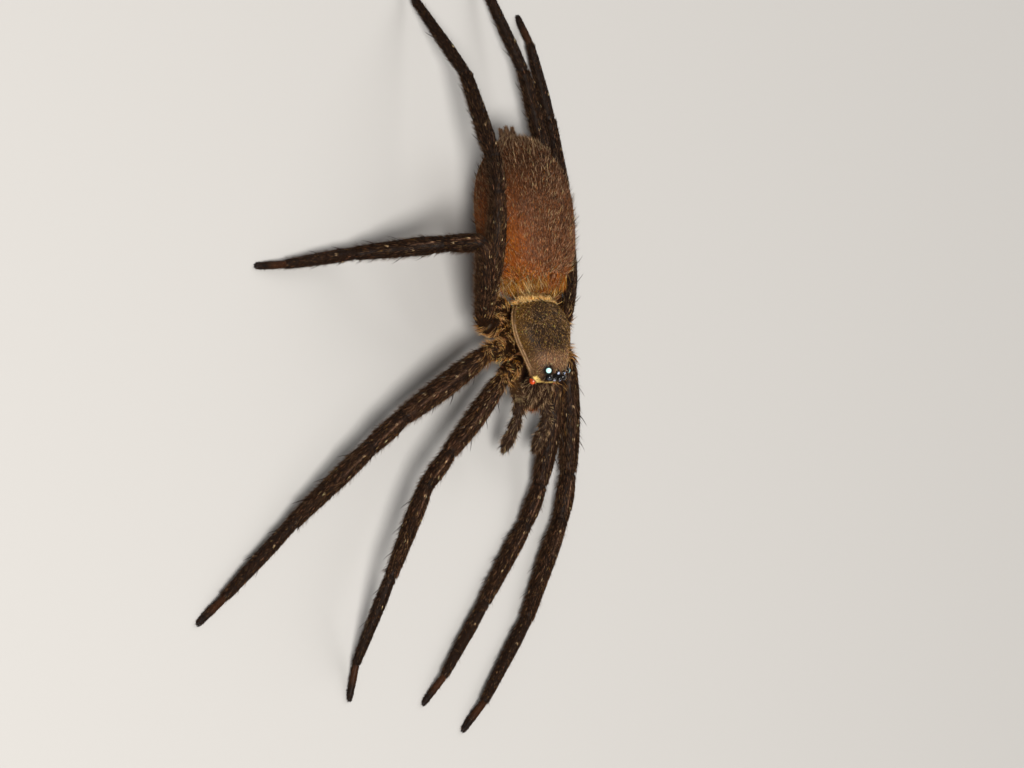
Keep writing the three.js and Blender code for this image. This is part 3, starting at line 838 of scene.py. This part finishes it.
def paint_carapace(at):
    band, face, surround = carapace_marks(at)
    # The skin is the carapace ground at 0.22, darker than the hair: the dark cuticle and painted shade under
    # the coat.
    return layered(carapace_ground(at) * 0.22, (DARK, smooth(0.3, -0.2, at.z) * 0.7),
                   (PALE, margin_lines(at)), (CREAM, band), (CLYPEUS_CREAM, face), (BLACK, surround))


def carapace_hair_tint(at, random):
    choices = (4, UMBER), (3, OLIVE), (2, GOLD), (1, PINK_BROWN), (4, DARK)
    tints = hair_colours(random, carapace_ground(at), choices, 0.4, 0.14, ((2, PALE), (1, GOLD)),
                         root=0.2, tip=1.8, contrast=0.65)
    dark = np.clip(carapace_marks(at)[2] * 1.1, 0, 1)
    return [layered(tint, (BLACK, dark)) for tint in tints]


def carapace_lie(at):
    """Hairs point to the head and up to the middle line, and backwards on the rear band."""
    toward = np.where(np.mod(at.angle, 2 * np.pi) < np.pi, -1.0, 1.0)
    heading = np.pi - toward * np.radians(70) * smooth(3.3, 1.0, at.z)
    return np.where(at.y > 4.5, toward * np.radians(20), heading)


def carapace_weight(at):
    band, face, surround = carapace_marks(at)
    return smooth(-0.15, 0.0, at.z) * (1 - 0.6 * surround) * (1 - face) * (1 - 0.7 * band)


def head_weight(at):
    return smooth(-2.6, -4.4, at.y) * smooth(1.2, 2.0, at.z) * (1 - eye_nearness(at.own, 0.2))


def lash_weight(at):
    near = eye_nearness(at.own, 1.0)
    return (near > 0.55) * (near < 0.95) * smooth(1.2, 1.5, at.z)


def make_carapace():
    half, crown = spline(CARAPACE, 1), spline(CARAPACE, 2)
    form = ring_form(CARAPACE, BODY_COAT, less(half, BODY_COAT), less(crown, BODY_COAT),
                     lambda y: np.full(len(y), CARAPACE_UNDERSIDE - BODY_COAT / 2),
                     0.0, 150, CARAPACE_SQUARENESS, carapace_relief, bulge=0.12)
    make_skin("carapace_skin", [(form, 230, 150, paint_carapace)], SHELL, ["carapace"])
    coat = Strands(np.random.default_rng(11))
    coat.plant(form, 95, carapace_weight, (0.22, 0.42), 0.085, (10, 26), lie=carapace_lie, spread=15,
               tint=carapace_hair_tint, only=lambda at: 1 - 0.85 * margin_lines(at))
    coat.plant(form, 80, lambda at: carapace_marks(at)[0], (0.55, 1.1), 0.095, (12, 44), 0.3,
               carapace_lie, 24, plain_tint([(1, ORANGE_BROWN), (2, GOLD)],
                                            [(6, CREAM * 1.2), (1, GOLD), (1, ORANGE_BROWN)]), 2)
    coat.plant(form, 55, lambda at: carapace_marks(at)[1], (0.25, 0.45), 0.09, (8, 26), 0.3, carapace_lie, 22,
               plain_tint([(1, GOLD)], [(3, CLYPEUS_CREAM), (1, CREAM)]), 2)
    coat.plant(form, 190, lambda at: (at.z < 0.9) * (at.z > -0.3) * 1.0, (0.35, 0.6), 0.075, (4, 10), 0.2,
               None, 5, plain_tint([(1, GREY_BROWN)], [(2, PALE), (1, CREAM)]),
               only=lambda at: margin_lines(at) ** 2)
    coat.plant(form, 3.0, head_weight, (0.6, 1.1), 0.05, (35, 75), 0.6, carapace_lie, 22,
               plain_tint([(1, DARK)], [(1, PALE), (1, UMBER)]), 3)
    coat.plant(form, 0.5, lambda at: smooth(0.5, 1.2, at.z), (0.5, 1.0), 0.045, (40, 75), 0.7, None, 30,
               plain_tint([(1, DARK)], [(1, UMBER)]), 3)
    coat.plant(form, 40, lash_weight, (0.16, 0.3), 0.07, (35, 60), 0.8, carapace_lie, 20,
               plain_tint([(1, BLACK)], [(3, BLACK), (1, DARK)]))
    coat.build("carapace_coat", COAT)


# Abdomen

def abdomen_ground(at, coat_shade=1.0):
    """Orange-brown at the front and flanks, greyer along the back and dark at the rear."""
    x, y, z = at.own.T
    x, z = np.abs(x), z - ABDOMEN_MIDDLE
    high = smooth(2.0, 5.2, z + 0.25 * np.sin(y * 0.9))
    warm = smooth(17.5, 11.5, y)
    streak = bump(x, 0.55 + 0.25 * np.sin(y * 1.4)) * smooth(7.0, 8.5, y) * smooth(17.5, 14.0, y)
    ground = layered(colour("a35a29"), (colour("bd6213"), 0.95 * warm * (1 - high)),
                     (colour("6e452c"), 0.9 * high), (colour("3f2919"), 0.85 * smooth(14.0, 22.5, y)),
                     (colour("6b4426"), 0.6 * smooth(-1.0, -4.5, z)),
                     (colour("4b3020"), 0.4 * streak * smooth(2.0, 4.0, z)))
    for spot_y, spot_x in MUSCLE_SPOTS:
        pit = bump(np.hypot(x - spot_x, y - spot_y), 0.3)
        ground = layered(ground, (colour("38261c"), 0.45 * pit * (z > 0)))
    for row in range(CHEVRONS):
        chevron = bump(y - (CHEVRON_START + CHEVRON_STEP * row) - 0.22 * x, 0.2)
        ground = layered(ground, (colour("3c2a20"), 0.3 * chevron * smooth(3.6, 2.4, x) * (z > 0)))
    patchy = 1 + 0.14 * ripple(at.own, 0.8) + 0.08 * ripple(at.own, 2.3, 4.0)
    # coat_shade dims the colour for the skin, the dark cuticle with painted shade under the coat.
    return ground * coat_shade * patchy[:, None]


def abdomen_front(at):
    return smooth(8.4, 6.6, at.y)


def abdomen_hair_tint(at, random):
    choices = (2, ORANGE_BROWN), (3, GREY_BROWN), (3, UMBER), (3, PINK_BROWN), (2, DARK)
    return hair_colours(random, abdomen_ground(at), choices, 0.35, 0.16 + 0.3 * abdomen_front(at),
                        ((3, ROSE), (2, PALE)), root=0.2, tip=1.6, contrast=0.45)


def abdomen_relief(own):
    """Slight pits of the muscle spots and soft folds."""
    x, y, z = own.T
    pits = sum(bump(np.hypot(np.abs(x) - spot_x, y - spot_y), 0.5) for spot_y, spot_x in MUSCLE_SPOTS)
    return -0.1 * pits * (z > 0) + 0.09 * ripple(own, 0.55)


def front_lie(at):
    """The first hairs point forwards over the stalk, the others back."""
    return np.where(at.y + 0.9 * ripple(at.own, 2.3) < 7.4, np.pi, 0.0)


def front_tint(at, random):
    """Orange-brown above, golden on the flanks."""
    count = len(at.u)
    tip = shades(random, count, (3, ORANGE_BROWN), (2, RUST), (1, ROSE), (1, UMBER))
    gold = random.random(count) < 0.15 + 0.5 * smooth(1.6, 2.8, np.abs(at.x))
    tip[gold] = shades(random, int(gold.sum()), (2, CREAM), (3, GOLD))
    return shades(random, count, (2, UMBER), (1, ORANGE_BROWN)) * 0.7, tip


def make_abdomen():
    half, above, below = (less(spline(ABDOMEN, column), ABDOMEN_COAT) for column in (1, 2, 3))
    form = ring_form(ABDOMEN, ABDOMEN_COAT, half, above, below, ABDOMEN_MIDDLE, 150, 1.0, abdomen_relief,
                     bulge=0.3)
    # The skin is the abdomen ground at 0.28: the dark cuticle and painted shade under the coat.
    make_skin("abdomen_skin", [(form, 170, 120, lambda at: abdomen_ground(at, 0.28))], SKIN,
              ["abdomen"])
    random = np.random.default_rng(23)
    for side_name, side in SIDES.items():
        coat = Strands(random)
        coat.plant(form, 84, lambda at: (at.x * side > 0) * 1.0, (0.32, 0.58), 0.09, (10, 25), spread=12,
                   tint=abdomen_hair_tint)
        coat.build(f"abdomen_coat_{side_name}", COAT)
    coat = Strands(random)
    coat.plant(form, 2.2, everywhere, (0.6, 1.1), 0.07, (20, 45), 0.6, None, 18,
               plain_tint([(1, UMBER)], [(2, PALE), (1, CREAM), (2, PINK_BROWN)]), 2)
    coat.plant(form, 2.5, everywhere, (0.8, 1.4), 0.055, (34, 64), 0.7, None, 20,
               plain_tint([(2, DARK), (1, UMBER)], [(1, PALE), (3, UMBER), (2, DARK)]), 3)
    coat.plant(form, 30, abdomen_front, (0.8, 1.7), 0.085, (10, 38), 0.35, front_lie, 30, front_tint, 2)
    coat.plant(form, 14, lambda at: (at.y > 6.7) * (at.y < 7.8) * 1.0, (1.7, 2.7), 0.085, (10, 36), 0.9,
               lambda at: np.pi, 26, front_tint, 3)
    coat.plant(form, 12, lambda at: smooth(22.5, 24.5, at.y), (0.7, 1.3), 0.06, (25, 55), 0.6, None, 18,
               plain_tint([(1, DARK)], [(1, GREY_BROWN), (1, PALE)]), 2)
    coat.build("abdomen_bristles", COAT)


# Head and underside

def set_down(bm, turn, place):
    bmesh.ops.rotate(bm, verts=bm.verts, matrix=turn)
    bmesh.ops.translate(bm, verts=bm.verts, vec=Vector(place))


def finish_ball(name, bm, tints, material, nodes=()):
    bmesh.ops.scale(bm, verts=bm.verts, vec=(MM, MM, MM))
    mesh = smooth_mesh(name, bm)
    set_tint(mesh, np.array(tints))
    finish_piece(name, mesh, material, nodes)


def make_lens(kind, side_name, centre, radius):
    """A lens with a raised front, looking outwards, black with a painted glint on its outward cap."""
    _, _, axis, rim, painted_glint_code = EYES[kind]
    axis = unit(BODY_TURN @ (np.array(axis) * (SIDES[side_name], 1, 1)))
    bm = bmesh.new()
    bmesh.ops.create_uvsphere(bm, u_segments=40, v_segments=28, radius=radius)
    heights = np.array([vert.co.z for vert in bm.verts]) / radius
    for vert, height in zip(bm.verts, heights):
        vert.co.z += radius * 0.1 * max(0.0, height) ** 2
    # Painted reflection: the glint colour fills the outward cap and fades to black towards the rim.
    tints = layered(BLACK, (colour(painted_glint_code), smooth(rim - 0.16, rim + 0.12, heights)))
    set_down(bm, Vector((0, 0, 1)).rotation_difference(Vector(axis)).to_matrix(), body_point(centre))
    finish_ball(f"lens_{kind}_{side_name}", bm, tints, GLOWING_EYE, [f"eye_{kind}_{side_name}"])


def make_boss(side_name, side):
    """The smooth orange knob at the outer root of the jaw."""
    bm = bmesh.new()
    bmesh.ops.create_uvsphere(bm, u_segments=28, v_segments=20, radius=BOSS_SIZE)
    bmesh.ops.scale(bm, verts=bm.verts, vec=(0.72, 1.15, 1.0))
    set_down(bm, Matrix(BODY_TURN.tolist()), body_point(BOSS_PLACE, side))
    tints = [BOSS_ORANGE * (0.8 + 0.3 * math.sin(9 * vert.co.y)) for vert in bm.verts]
    finish_ball(f"jaw_{side_name}_boss", bm, tints, BOSS)


def make_eyes():
    for kind, side_name, centre, radius in eye_rows():
        make_lens(kind, side_name, centre, radius * LENS_SHARE)


def paint_underside(at):
    return colour("6a4528") * uneven(at.own, 0.15, 1.3) * 0.8


def paint_mouth(at):
    return layered(colour("2c190e"), (colour("7c4a24"), smooth(0.75, 1.0, at.u) * 0.6))


def lower_side(at):
    return smooth(0.3, -0.3, at.top)


def make_underside():
    """Sternum with the core above it, stalk of the abdomen, lip and its two side plates."""
    half = spline(STERNUM)
    core = ring_form(STERNUM, BODY_COAT, less(half, BODY_COAT), lambda y: np.full(len(y), CORE_UP),
                     lambda y: STERNUM_DOWN * np.minimum(1, half(y) / 1.9) - BODY_COAT,
                     STERNUM_MIDDLE, 60, 0.7, bulge=0.1, even=True, tile=strip(0, 5))
    stalk = body_path(*PEDICEL, BODY_COAT).form(0.3, 0.3, strip(1, 5))
    lip = body_path(*LABIUM, LIP_COAT).form(0.3, 0.28, strip(2, 5))
    plates = [body_path(*MAXILLA, PLATE_COAT, side).form(0.4, 0.4, strip(3 + i, 5))
              for i, side in enumerate(SIDES.values())]
    parts = [(core, 90, 60, paint_underside), (stalk, 40, 28, paint_underside), (lip, 30, 28, paint_mouth)]
    parts += [(plate, 50, 32, paint_mouth) for plate in plates]
    make_skin("underside_skin", parts, SHELL, ["sternum", "pedicel", "mouthparts"])
    coat = Strands(np.random.default_rng(31))
    coat.plant(core, 30, lower_side, (0.3, 0.6), 0.07, (12, 34), spread=18,
               tint=plain_tint([(1, UMBER)], [(2, colour("8a5c34")), (1, GREY_BROWN)]))
    coat.plant(stalk, 70, everywhere, (0.8, 1.9), 0.08, (25, 75), 0.5, None, 24,
               plain_tint([(1, ORANGE_BROWN), (1, UMBER)], [(2, GOLD), (1, CREAM)]), 2)
    for plate in plates:
        coat.plant(plate, 16, lower_side, (0.4, 0.8), 0.06, (20, 45), spread=18,
                   tint=plain_tint([(1, UMBER)], [(2, RUST), (1, GOLD)]))
        coat.plant(plate, 60, lambda at: smooth(0.75, 0.9, at.u), (0.5, 0.9), 0.055, (20, 50),
                   tint=plain_tint([(1, colour("6e3417"))], [(1, colour("b0642c"))]))
    coat.build("underside_coat", COAT)


def paint_jaw(at):
    ground = layered(colour("3a2217"), (colour("5d3a22"), 0.7 * smooth(0.35, 0.1, at.u)))
    # Dimmed to 0.4 for the skin: the dark cuticle and painted shade under the coat.
    return ground * uneven(at.own, 0.15, 1.4) * 0.4


def jaw_front(at):
    """Thickest on the outer front of the jaw."""
    return 0.35 + smooth(-0.5, 0.6, at.top)


def make_jaw(side_name, side):
    form = body_path(*CHELICERA, BODY_COAT, side).form(0.45, 0.36, fine=0.1, coarse=0.16)
    make_skin(f"jaw_{side_name}", [(form, 70, 48, paint_jaw)], JAW, [f"chelicera_{side_name}"])
    coat = Strands(np.random.default_rng(41 + (side > 0)))
    dark_tips = [(2, UMBER), (7, DARK), (3, BLACK), (1, GREY_BROWN), (1, PALE * 0.6)]
    coat.plant(form, 46, jaw_front, (0.3, 0.6), 0.06, (12, 34),
               tint=plain_tint([(2, BLACK), (1, DARK)], dark_tips))
    coat.plant(form, 7, jaw_front, (0.7, 1.35), 0.05, (26, 62), 0.6, None, 18, PALE_HAIR, 3)
    coat.plant(form, 12, jaw_front, (0.8, 1.5), 0.055, (35, 70), 0.6, None, 20, DARK_BRISTLE, 3)
    coat.plant(form, 60, lambda at: smooth(0.16, 0.1, at.u), (0.45, 0.9), 0.06, (30, 70), 0.8, None, 30,
               plain_tint([(1, BLACK)], [(2, DARK), (1, UMBER)]), 2)
    coat.plant(form, 34, lambda at: smooth(0.72, 0.85, at.u) * smooth(0.99, 0.94, at.u), (0.7, 1.2), 0.055,
               (20, 45), spread=16, tint=plain_tint([(1, colour("5e2c14"))], [(2, RUST), (1, ORANGE_BROWN)]),
               rings=2)
    coat.build(f"jaw_{side_name}_coat", COAT)


def paint_fang(at):
    return layered(colour("3c150c"), (BLACK, smooth(0.1, 0.55, at.u)))


def make_fang(side_name, side):
    """A curved fang, stout at the root and ending in a point."""
    form = body_path(*FANG, 0.0, side, FANG_BOW).form(0.25, 0.03, fine=0.06, coarse=0.08)
    make_skin(f"fang_{side_name}_skin", [(form, 60, 26, paint_fang)], HORN, [f"fang_{side_name}"])


def fold_share(station, widths, scale=1.0):
    """1 in the fold of each joint, fading within its width times scale."""
    folds = [bump(station - joint, width * scale) for joint, width in enumerate(widths, start=1)]
    return np.max(folds, axis=0)


def palp_ground(at):
    station = at.station
    ground = layered(colour("4a3425"), (colour("80592f"), 0.8 * smooth(1.0, 0.2, station)),
                     (CREAM, 0.4 * bump(station - 0.93, 0.05)), (DARK * 0.8, 0.6 * smooth(3.3, 3.9, station)),
                     (BLACK * 1.2, 0.6 * fold_share(station, PALP_FOLD_WIDTHS)))
    return ground * uneven(at.own, 0.14, 1.0)


def palp_tint(at, random):
    count = len(at.u)
    choices = shades(random, count, (3, UMBER), (1, GREY_BROWN), (3, DARK))
    hair = layered(palp_ground(at), (choices, 0.5)) * 0.6
    tip = hair * 1.6
    pale = random.random(count) < 0.12
    tip[pale] = shades(random, int(pale.sum()), (2, PALE), (1, PINK_BROWN))
    # The roots at 0.35 of the hair colour are painted shade deep in the coat.
    return hair * 0.35, tip


def make_palp(side_name, side):
    points = [body_point(point, side) for point in PALPS[side_name]]
    path = Path(points, PALP_GIRTHS, 1.0, [0.0] * len(PALP_GIRTHS), PALP_JOINTS, LEG_COAT)
    form = path.form(0.5, 0.32)
    # The skin is the palp ground at 0.35: the dark cuticle and painted shade under the coat.
    make_skin(f"palp_{side_name}_skin", [(form, len(form.rows) - 1, 28, lambda at: palp_ground(at) * 0.35)],
              SKIN, [f"palp_{side_name}_upper", f"palp_{side_name}_lower"])
    random = np.random.default_rng(51 + (side > 0))
    coat = Strands(random)
    coat.plant(form, 62, everywhere, (0.3, 0.6), 0.06, (12, 32), spread=12, tint=palp_tint)
    for density, tint in ((12, DARK_BRISTLE), (5, PALE_HAIR)):
        coat.plant(form, density, everywhere, (0.6, 1.1), 0.05, (30, 60), 0.7, None, 16, tint, 2)
    coat.build(f"palp_{side_name}_coat", COAT)
    spikes = Strands(random)
    for station, turn in PALP_SPINES:
        spikes.grow(form, form.u_at([station]), np.radians([turn % 360.0]), (1.0, 1.3), 0.15, (35, 45), 0.75,
                    spread=3, rings=6, **SPINE_LOOK)
    spikes.build(f"palp_{side_name}_spines", HORN)


def paint_spinneret(at):
    return layered(colour("4d3626"), (colour("8a6a4c"), smooth(0.75, 0.95, at.u))) * 0.8


def make_spinnerets():
    """A low mound with three pairs of short tapered spinnerets."""
    rows = [("mound", 1)] + [(kind, side) for kind in ("upper", "lower", "middle") for side in SIDES.values()]
    paths = [body_path(*SPINNERETS[kind], SPINNERET_COAT, side) for kind, side in rows]
    forms = [path.form(0.3, 0.16, strip(i, len(rows)), fine=0.1, coarse=0.12)
             for i, path in enumerate(paths)]
    make_skin("spinneret_skin", [(form, 40, 24, paint_spinneret) for form in forms], SKIN,
              ["spinnerets"])
    coat = Strands(np.random.default_rng(61))
    for form in forms:
        coat.plant(form, 60, lambda at: smooth(0.95, 0.8, at.u), (0.25, 0.5), 0.05, (18, 42),
                   tint=plain_tint([(1, DARK), (1, UMBER)], [(2, GREY_BROWN), (1, PALE)]))
    coat.build("spinneret_coat", COAT)


# Legs

def number_source(seed):
    """The small repeatable number source that places the spines of the solids."""
    state = seed
    while True:
        state = (state * 1664525 + 1013904223) % 4294967296
        yield state / 4294967296


def leg_points(name, side, number):
    hip, joint = (body_point(point, side) for point in HIPS[number])
    points = [hip, hip + (joint - hip) * HIP_SHARE, joint]
    for length, turn, rise in zip(LENGTHS[number], *(np.radians(row) for row in STANCE[name])):
        step = np.array([math.cos(rise) * math.cos(turn), math.cos(rise) * math.sin(turn), math.sin(rise)])
        points.append(points[-1] + length * step)
    return points


def leg_spines(side, number):
    """Spines of a leg as (station, angle, size, lean), where the solids have them."""
    source = number_source(100 + number * 7 + (50 if side > 0 else 0))
    rows = []
    for kind, (shares, around, lean, length) in SPINE_ROWS.items():
        for share in shares:
            for angle in around:
                size = length * (0.85 + 0.3 * next(source))
                tilt = lean + 10 * (next(source) - 0.5)
                turn = angle + 16 * (next(source) - 0.5)
                place = share + 0.03 * (next(source) - 0.5)
                rows.append((SEGMENTS.index(kind) + place, math.radians(turn) % (2 * math.pi), size, tilt))
    return np.array(rows)


def leg_ground(at):
    """Skin colour along a leg: warm at its base, dark on the long segments."""
    station = at.station
    top = smooth(-0.2, 0.7, at.top)
    base = smooth(2.3, 1.9, station)
    knee = smooth(2.84, 2.94, station) * smooth(3.02, 2.99, station)
    tarsus = smooth(5.96, 6.05, station) * smooth(6.75, 6.4, station)
    rings = np.maximum(bump(station - 0.84, 0.04), bump(station - 1.88, 0.08))
    ground = layered(colour("26180f"), (colour("5a3616"), 0.85 * base),
                     (colour("3d281b"), 0.5 * top * (1 - base)), (PINK_BROWN, 0.2 * knee * top),
                     (colour("70401f"), 0.5 * tarsus),
                     (DARK * 0.7, 0.7 * smooth(6.6, 6.9, station)), (CREAM, 0.22 * rings),
                     (BLACK * 1.2, 0.45 * fold_share(station, FOLD_WIDTHS)))
    return ground * uneven(at.own, 0.14, 0.9)


def leg_tint(choices, pale_choices, share, shadow, level, pale, root, contrast):
    """Colours of one kind of leg hair. shadow is the loss on the lower side and where it starts;
    level and pale are the brightness and the share of pale tips, as (all over, more at the base)."""
    def tint(at, random):
        base = smooth(2.35, 1.8, at.station)
        shaded = 1 - shadow[0] * smooth(shadow[1], -0.8, at.top) * (at.station > 2)
        dim = (shaded * (level[0] + level[1] * base))[:, None]
        warmth = 1 - np.outer(1 + 1.1 * base, (0.0, 0.1, 0.2))
        roots, tips = hair_colours(random, leg_ground(at), choices, share, pale[0] + pale[1] * base,
                                   pale_choices, root=root, contrast=contrast)
        return roots * dim, tips * (dim * warmth)
    return tint


FUR_TINT = leg_tint([(4, UMBER), (1, GREY_BROWN), (5, DARK)], [(2, GOLD), (2, PALE), (1, CREAM)],
                    0.5, (0.5, 0.0), (0.45, -0.12), (0.01, 0.05), 0.25, 0.45)
STROKE_TINT = leg_tint([(4, GREY_BROWN), (3, UMBER), (1, PINK_BROWN)], [(2, PALE), (3, CREAM), (2, GOLD)],
                       0.8, (0.6, 0.1), (0.62, 0.7), (0.05, 0.65), 0.4, 0.4)


def leg_lines(at):
    """1 on the thin pale lines."""
    station = at.station
    share = np.zeros(len(station))
    for low, high, turn in LEG_LINES:
        gap = np.mod(at.angle - math.radians(turn) + np.pi, 2 * np.pi) - np.pi
        on = smooth(low, low + 0.04, station) * smooth(high, high - 0.04, station)
        share = np.maximum(share, bump(gap, 0.04) * on)
    return share


def off_lines(at):
    return 1 - leg_lines(at)


def paint_leg(at):
    # The skin is the leg ground at 0.3, and at 0.16 on the shaggy base: the dark cuticle and painted shade
    # under the coat.
    ground = leg_ground(at) * (0.3 - 0.14 * smooth(2.2, 1.8, at.station))[:, None]
    return layered(ground, (PINK_BROWN, 0.4 * leg_lines(at)))


def fur_weight(at):
    folds = fold_share(at.station, FOLD_WIDTHS, 1.4)
    return (1 - 0.5 * folds) * smooth(0.15, 0.4, at.station) * (at.z > 0.12)


def fringe_weight(at):
    """Weight of the standing hairs, thicker on the lower side."""
    return (0.04 + smooth(0.45, -0.15, at.top)) * (at.z > 0.5) * (at.z < FRINGE_TOP)


def locks(at):
    """Share of the strokes kept at the base, in locks with dark gaps between them."""
    return smooth(-0.25, 0.3, ripple(at.own, 2.6, 2.0))


def swirl(at):
    return 1.1 * ripple(at.own, 1.0, 5.0)


def sole(at):
    return smooth(-0.15, -0.6, at.top) * (at.z > 0.1)


def plant_leg_coat(coat, form):
    for stretch, fur, stroke, fringe in LEG_HAIR:
        reach = form.u_at(stretch)
        base = stretch[0] < BASE_END
        foot = stretch[0] > FOOT_START
        coat.plant(form, fur[0], fur_weight, fur[1], 0.085 if foot else 0.095, (14, 40) if base else (9, 26),
                   spread=28 if base else 9, tint=FUR_TINT, reach=reach, only=off_lines)
        coat.plant(form, stroke[0], fur_weight, stroke[1], 0.065 if foot else 0.08,
                   (14, 50) if base else (7, 18), 0.3, swirl if base else None, 14 if base else 6,
                   STROKE_TINT, 2 if base else 1, reach=reach, only=locks if base else off_lines)
        coat.plant(form, fringe[0], fringe_weight, fringe[1], 0.055, (26, 58), 0.7, None, 12, DARK_BRISTLE, 2,
                   reach=reach)
    for density, length, steepest, start in ((80, (0.28, 0.5), 75, 5), (110, (0.2, 0.42), 80, 6)):
        coat.plant(form, density, sole, length, 0.055, (45, steepest), 0.9, None, 12, BRUSH,
                   reach=form.u_at((start, start + 1)))
    coat.plant(form, 140, lambda at: (at.z > 0.15) * 1.0, (0.25, 0.45), 0.05, (10, 50), 0.6, None, 10, BRUSH,
               reach=(form.u_at(TUFT_START), 1.0))


def plant_lines_and_flecks(coat, form, lengths, spines):
    """The thin pale lines, and the flecks along the leg and at its spines."""
    random = coat.random
    for low, high, turn in LEG_LINES:
        count = int((high - low) * lengths[int(low)] / LINE_STEP)
        station = low + (high - low) * (np.arange(count) + random.random(count)) / count
        around = math.radians(turn) + 0.02 * random.standard_normal(count)
        coat.grow(form, form.u_at(station), around, (0.4, 0.7), 0.06, (3, 8), spread=2, tint=LINE_TINT)
    flecks = [(station, math.radians(turn)) for station, turn in LEG_FLECKS]
    for station, turn in flecks + [tuple(row[:2]) for row in spines]:
        station = station + (0.12 * random.random(HAIRS_PER_FLECK) - 0.05) / lengths[int(station)]
        around = turn + 0.1 * random.standard_normal(HAIRS_PER_FLECK)
        coat.grow(form, form.u_at(station), around, (0.45, 0.7), 0.095, (8, 20), spread=6, tint=FLECK_TINT)


def make_leg(name):
    side_name, number = name.split("_")
    side, number = SIDES[side_name], int(number)
    path = Path(leg_points(name, side, number), GIRTHS.values(), STOUTNESS[number],
                [BOWS.get(kind, 0.0) for kind in SEGMENTS], JOINTS, LEG_COAT)
    form = path.form(0.9, 0.3)
    make_skin(f"leg_{name}_skin", [(form, len(form.rows) - 1, 30, paint_leg)], SKIN,
              [f"leg_{name}_{part}" for part in ("coxa", "femur", "tibia", "foot")])
    spines = leg_spines(side, number)
    random = np.random.default_rng(300 + 10 * number + (side > 0))
    coat = Strands(random)
    plant_leg_coat(coat, form)
    plant_lines_and_flecks(coat, form, path.lengths, spines)
    coat.build(f"leg_{name}_coat", COAT)
    spikes = Strands(random)
    for station, turn, size, lean in spines:
        spikes.grow(form, form.u_at([station]), np.array([turn]), (size * SPINE_SHARE, size * SPINE_SHARE),
                    2 * SPINE_RADIUS, (lean - 2, lean + 2), 0.6, spread=2, rings=7, **SPINE_LOOK)
    spikes.build(f"leg_{name}_spines", HORN)
    make_claws(name, path)


def make_claws(name, path):
    """Two small hooked claws above the tuft of the foot."""
    above, across, ahead = path.frames[-1]
    share = np.linspace(0, 1, 7)
    bend = ahead * (0.55 * np.sin(share * 1.5))[:, None] + above * (0.16 - 0.4 * share ** 2)[:, None]
    root = path.points[-1] + above * 0.12
    centres = np.array([root + across * 0.13 * side + bend + across * side * 0.08 * share[:, None]
                        for side in (-1, 1)])
    widths = np.tile(0.075 * (1 - share[:6]) ** 0.7, (2, 1))
    claws = Strands()
    claws.add(centres, widths, np.tile(across, (2, 1)), np.tile(above, (2, 1)),
              np.tile(BLACK * 1.5, (2, 7, 1)), np.array([[0.3, 0.5], [0.7, 0.5]]), 6)
    claws.build(f"leg_{name}_claws", HORN)


# Floor, camera and light

# Metres from the middle of the floor to its edges.
FLOOR_REACH = 1.5


def make_floor():
    bm = bmesh.new()
    bmesh.ops.create_grid(bm, x_segments=2, y_segments=2, size=FLOOR_REACH)
    material, _ = plain_material("pale_floor", {"Base Color": (0.5, 0.49, 0.475, 1), "Roughness": 0.9,
                                                "Specular IOR Level": 0.2})
    floor = new_object("floor", smooth_mesh("floor", bm), material)


def make_camera():
    """Looks at the right side from above, the head downwards in the picture."""
    flat = math.cos(CAMERA_RISE)
    back = np.array([-flat * math.cos(CAMERA_TURN), -flat * math.sin(CAMERA_TURN), math.sin(CAMERA_RISE)])
    up = unit(np.array([0, 1.0, 0]) - back * back[1])
    right = np.cross(up, back)
    c, s = math.cos(CAMERA_ROLL), math.sin(CAMERA_ROLL)
    right, up = c * right + s * up, c * up - s * right
    target = CAMERA_AIM + AIM_SHIFT[0] * right + AIM_SHIFT[1] * up
    data = bpy.data.cameras.new("camera")
    data.lens, data.sensor_width = LENS, SENSOR
    data.clip_start, data.clip_end = 0.01, 20
    camera = link_object("camera", data)
    matrix = Matrix((right, up, back)).transposed().to_4x4()
    matrix.translation = (target + CAMERA_DISTANCE * back) * MM
    camera.matrix_world = matrix
    bpy.context.scene.camera = camera


def add_light(name, place, size, power, tone):
    """A round lamp that shines at the middle of the floor."""
    data = bpy.data.lights.new(name, "AREA")
    data.shape = "DISK"
    data.size, data.energy, data.color = size, power, tone
    light = link_object(name, data)
    light.location = place
    light.rotation_mode = "QUATERNION"
    light.rotation_quaternion = (-Vector(place)).to_track_quat("-Z", "Y")


def make_light():
    world = bpy.data.worlds.new("studio")
    bpy.context.scene.world = world
    world.use_nodes = True
    set_inputs(world.node_tree.nodes["Background"], {"Color": (1.0, 0.97, 0.94, 1), "Strength": 0.25})
    add_light("key", (-0.45, -0.2, 0.6), 0.25, 8.2, (1.0, 0.97, 0.93))
    add_light("fill", (0.5, 0.3, 0.5), 0.6, 2.2, (1.0, 0.98, 0.96))
    bpy.context.scene.view_settings.view_transform = "Standard"


make_camera()
make_light()
make_floor()
make_carapace()
make_abdomen()
make_eyes()
make_underside()
for side_name, side in SIDES.items():
    make_jaw(side_name, side)
    make_boss(side_name, side)
    make_fang(side_name, side)
for side_name, side in SIDES.items():
    make_palp(side_name, side)
make_spinnerets()
for leg_name in STANCE:
    make_leg(leg_name)
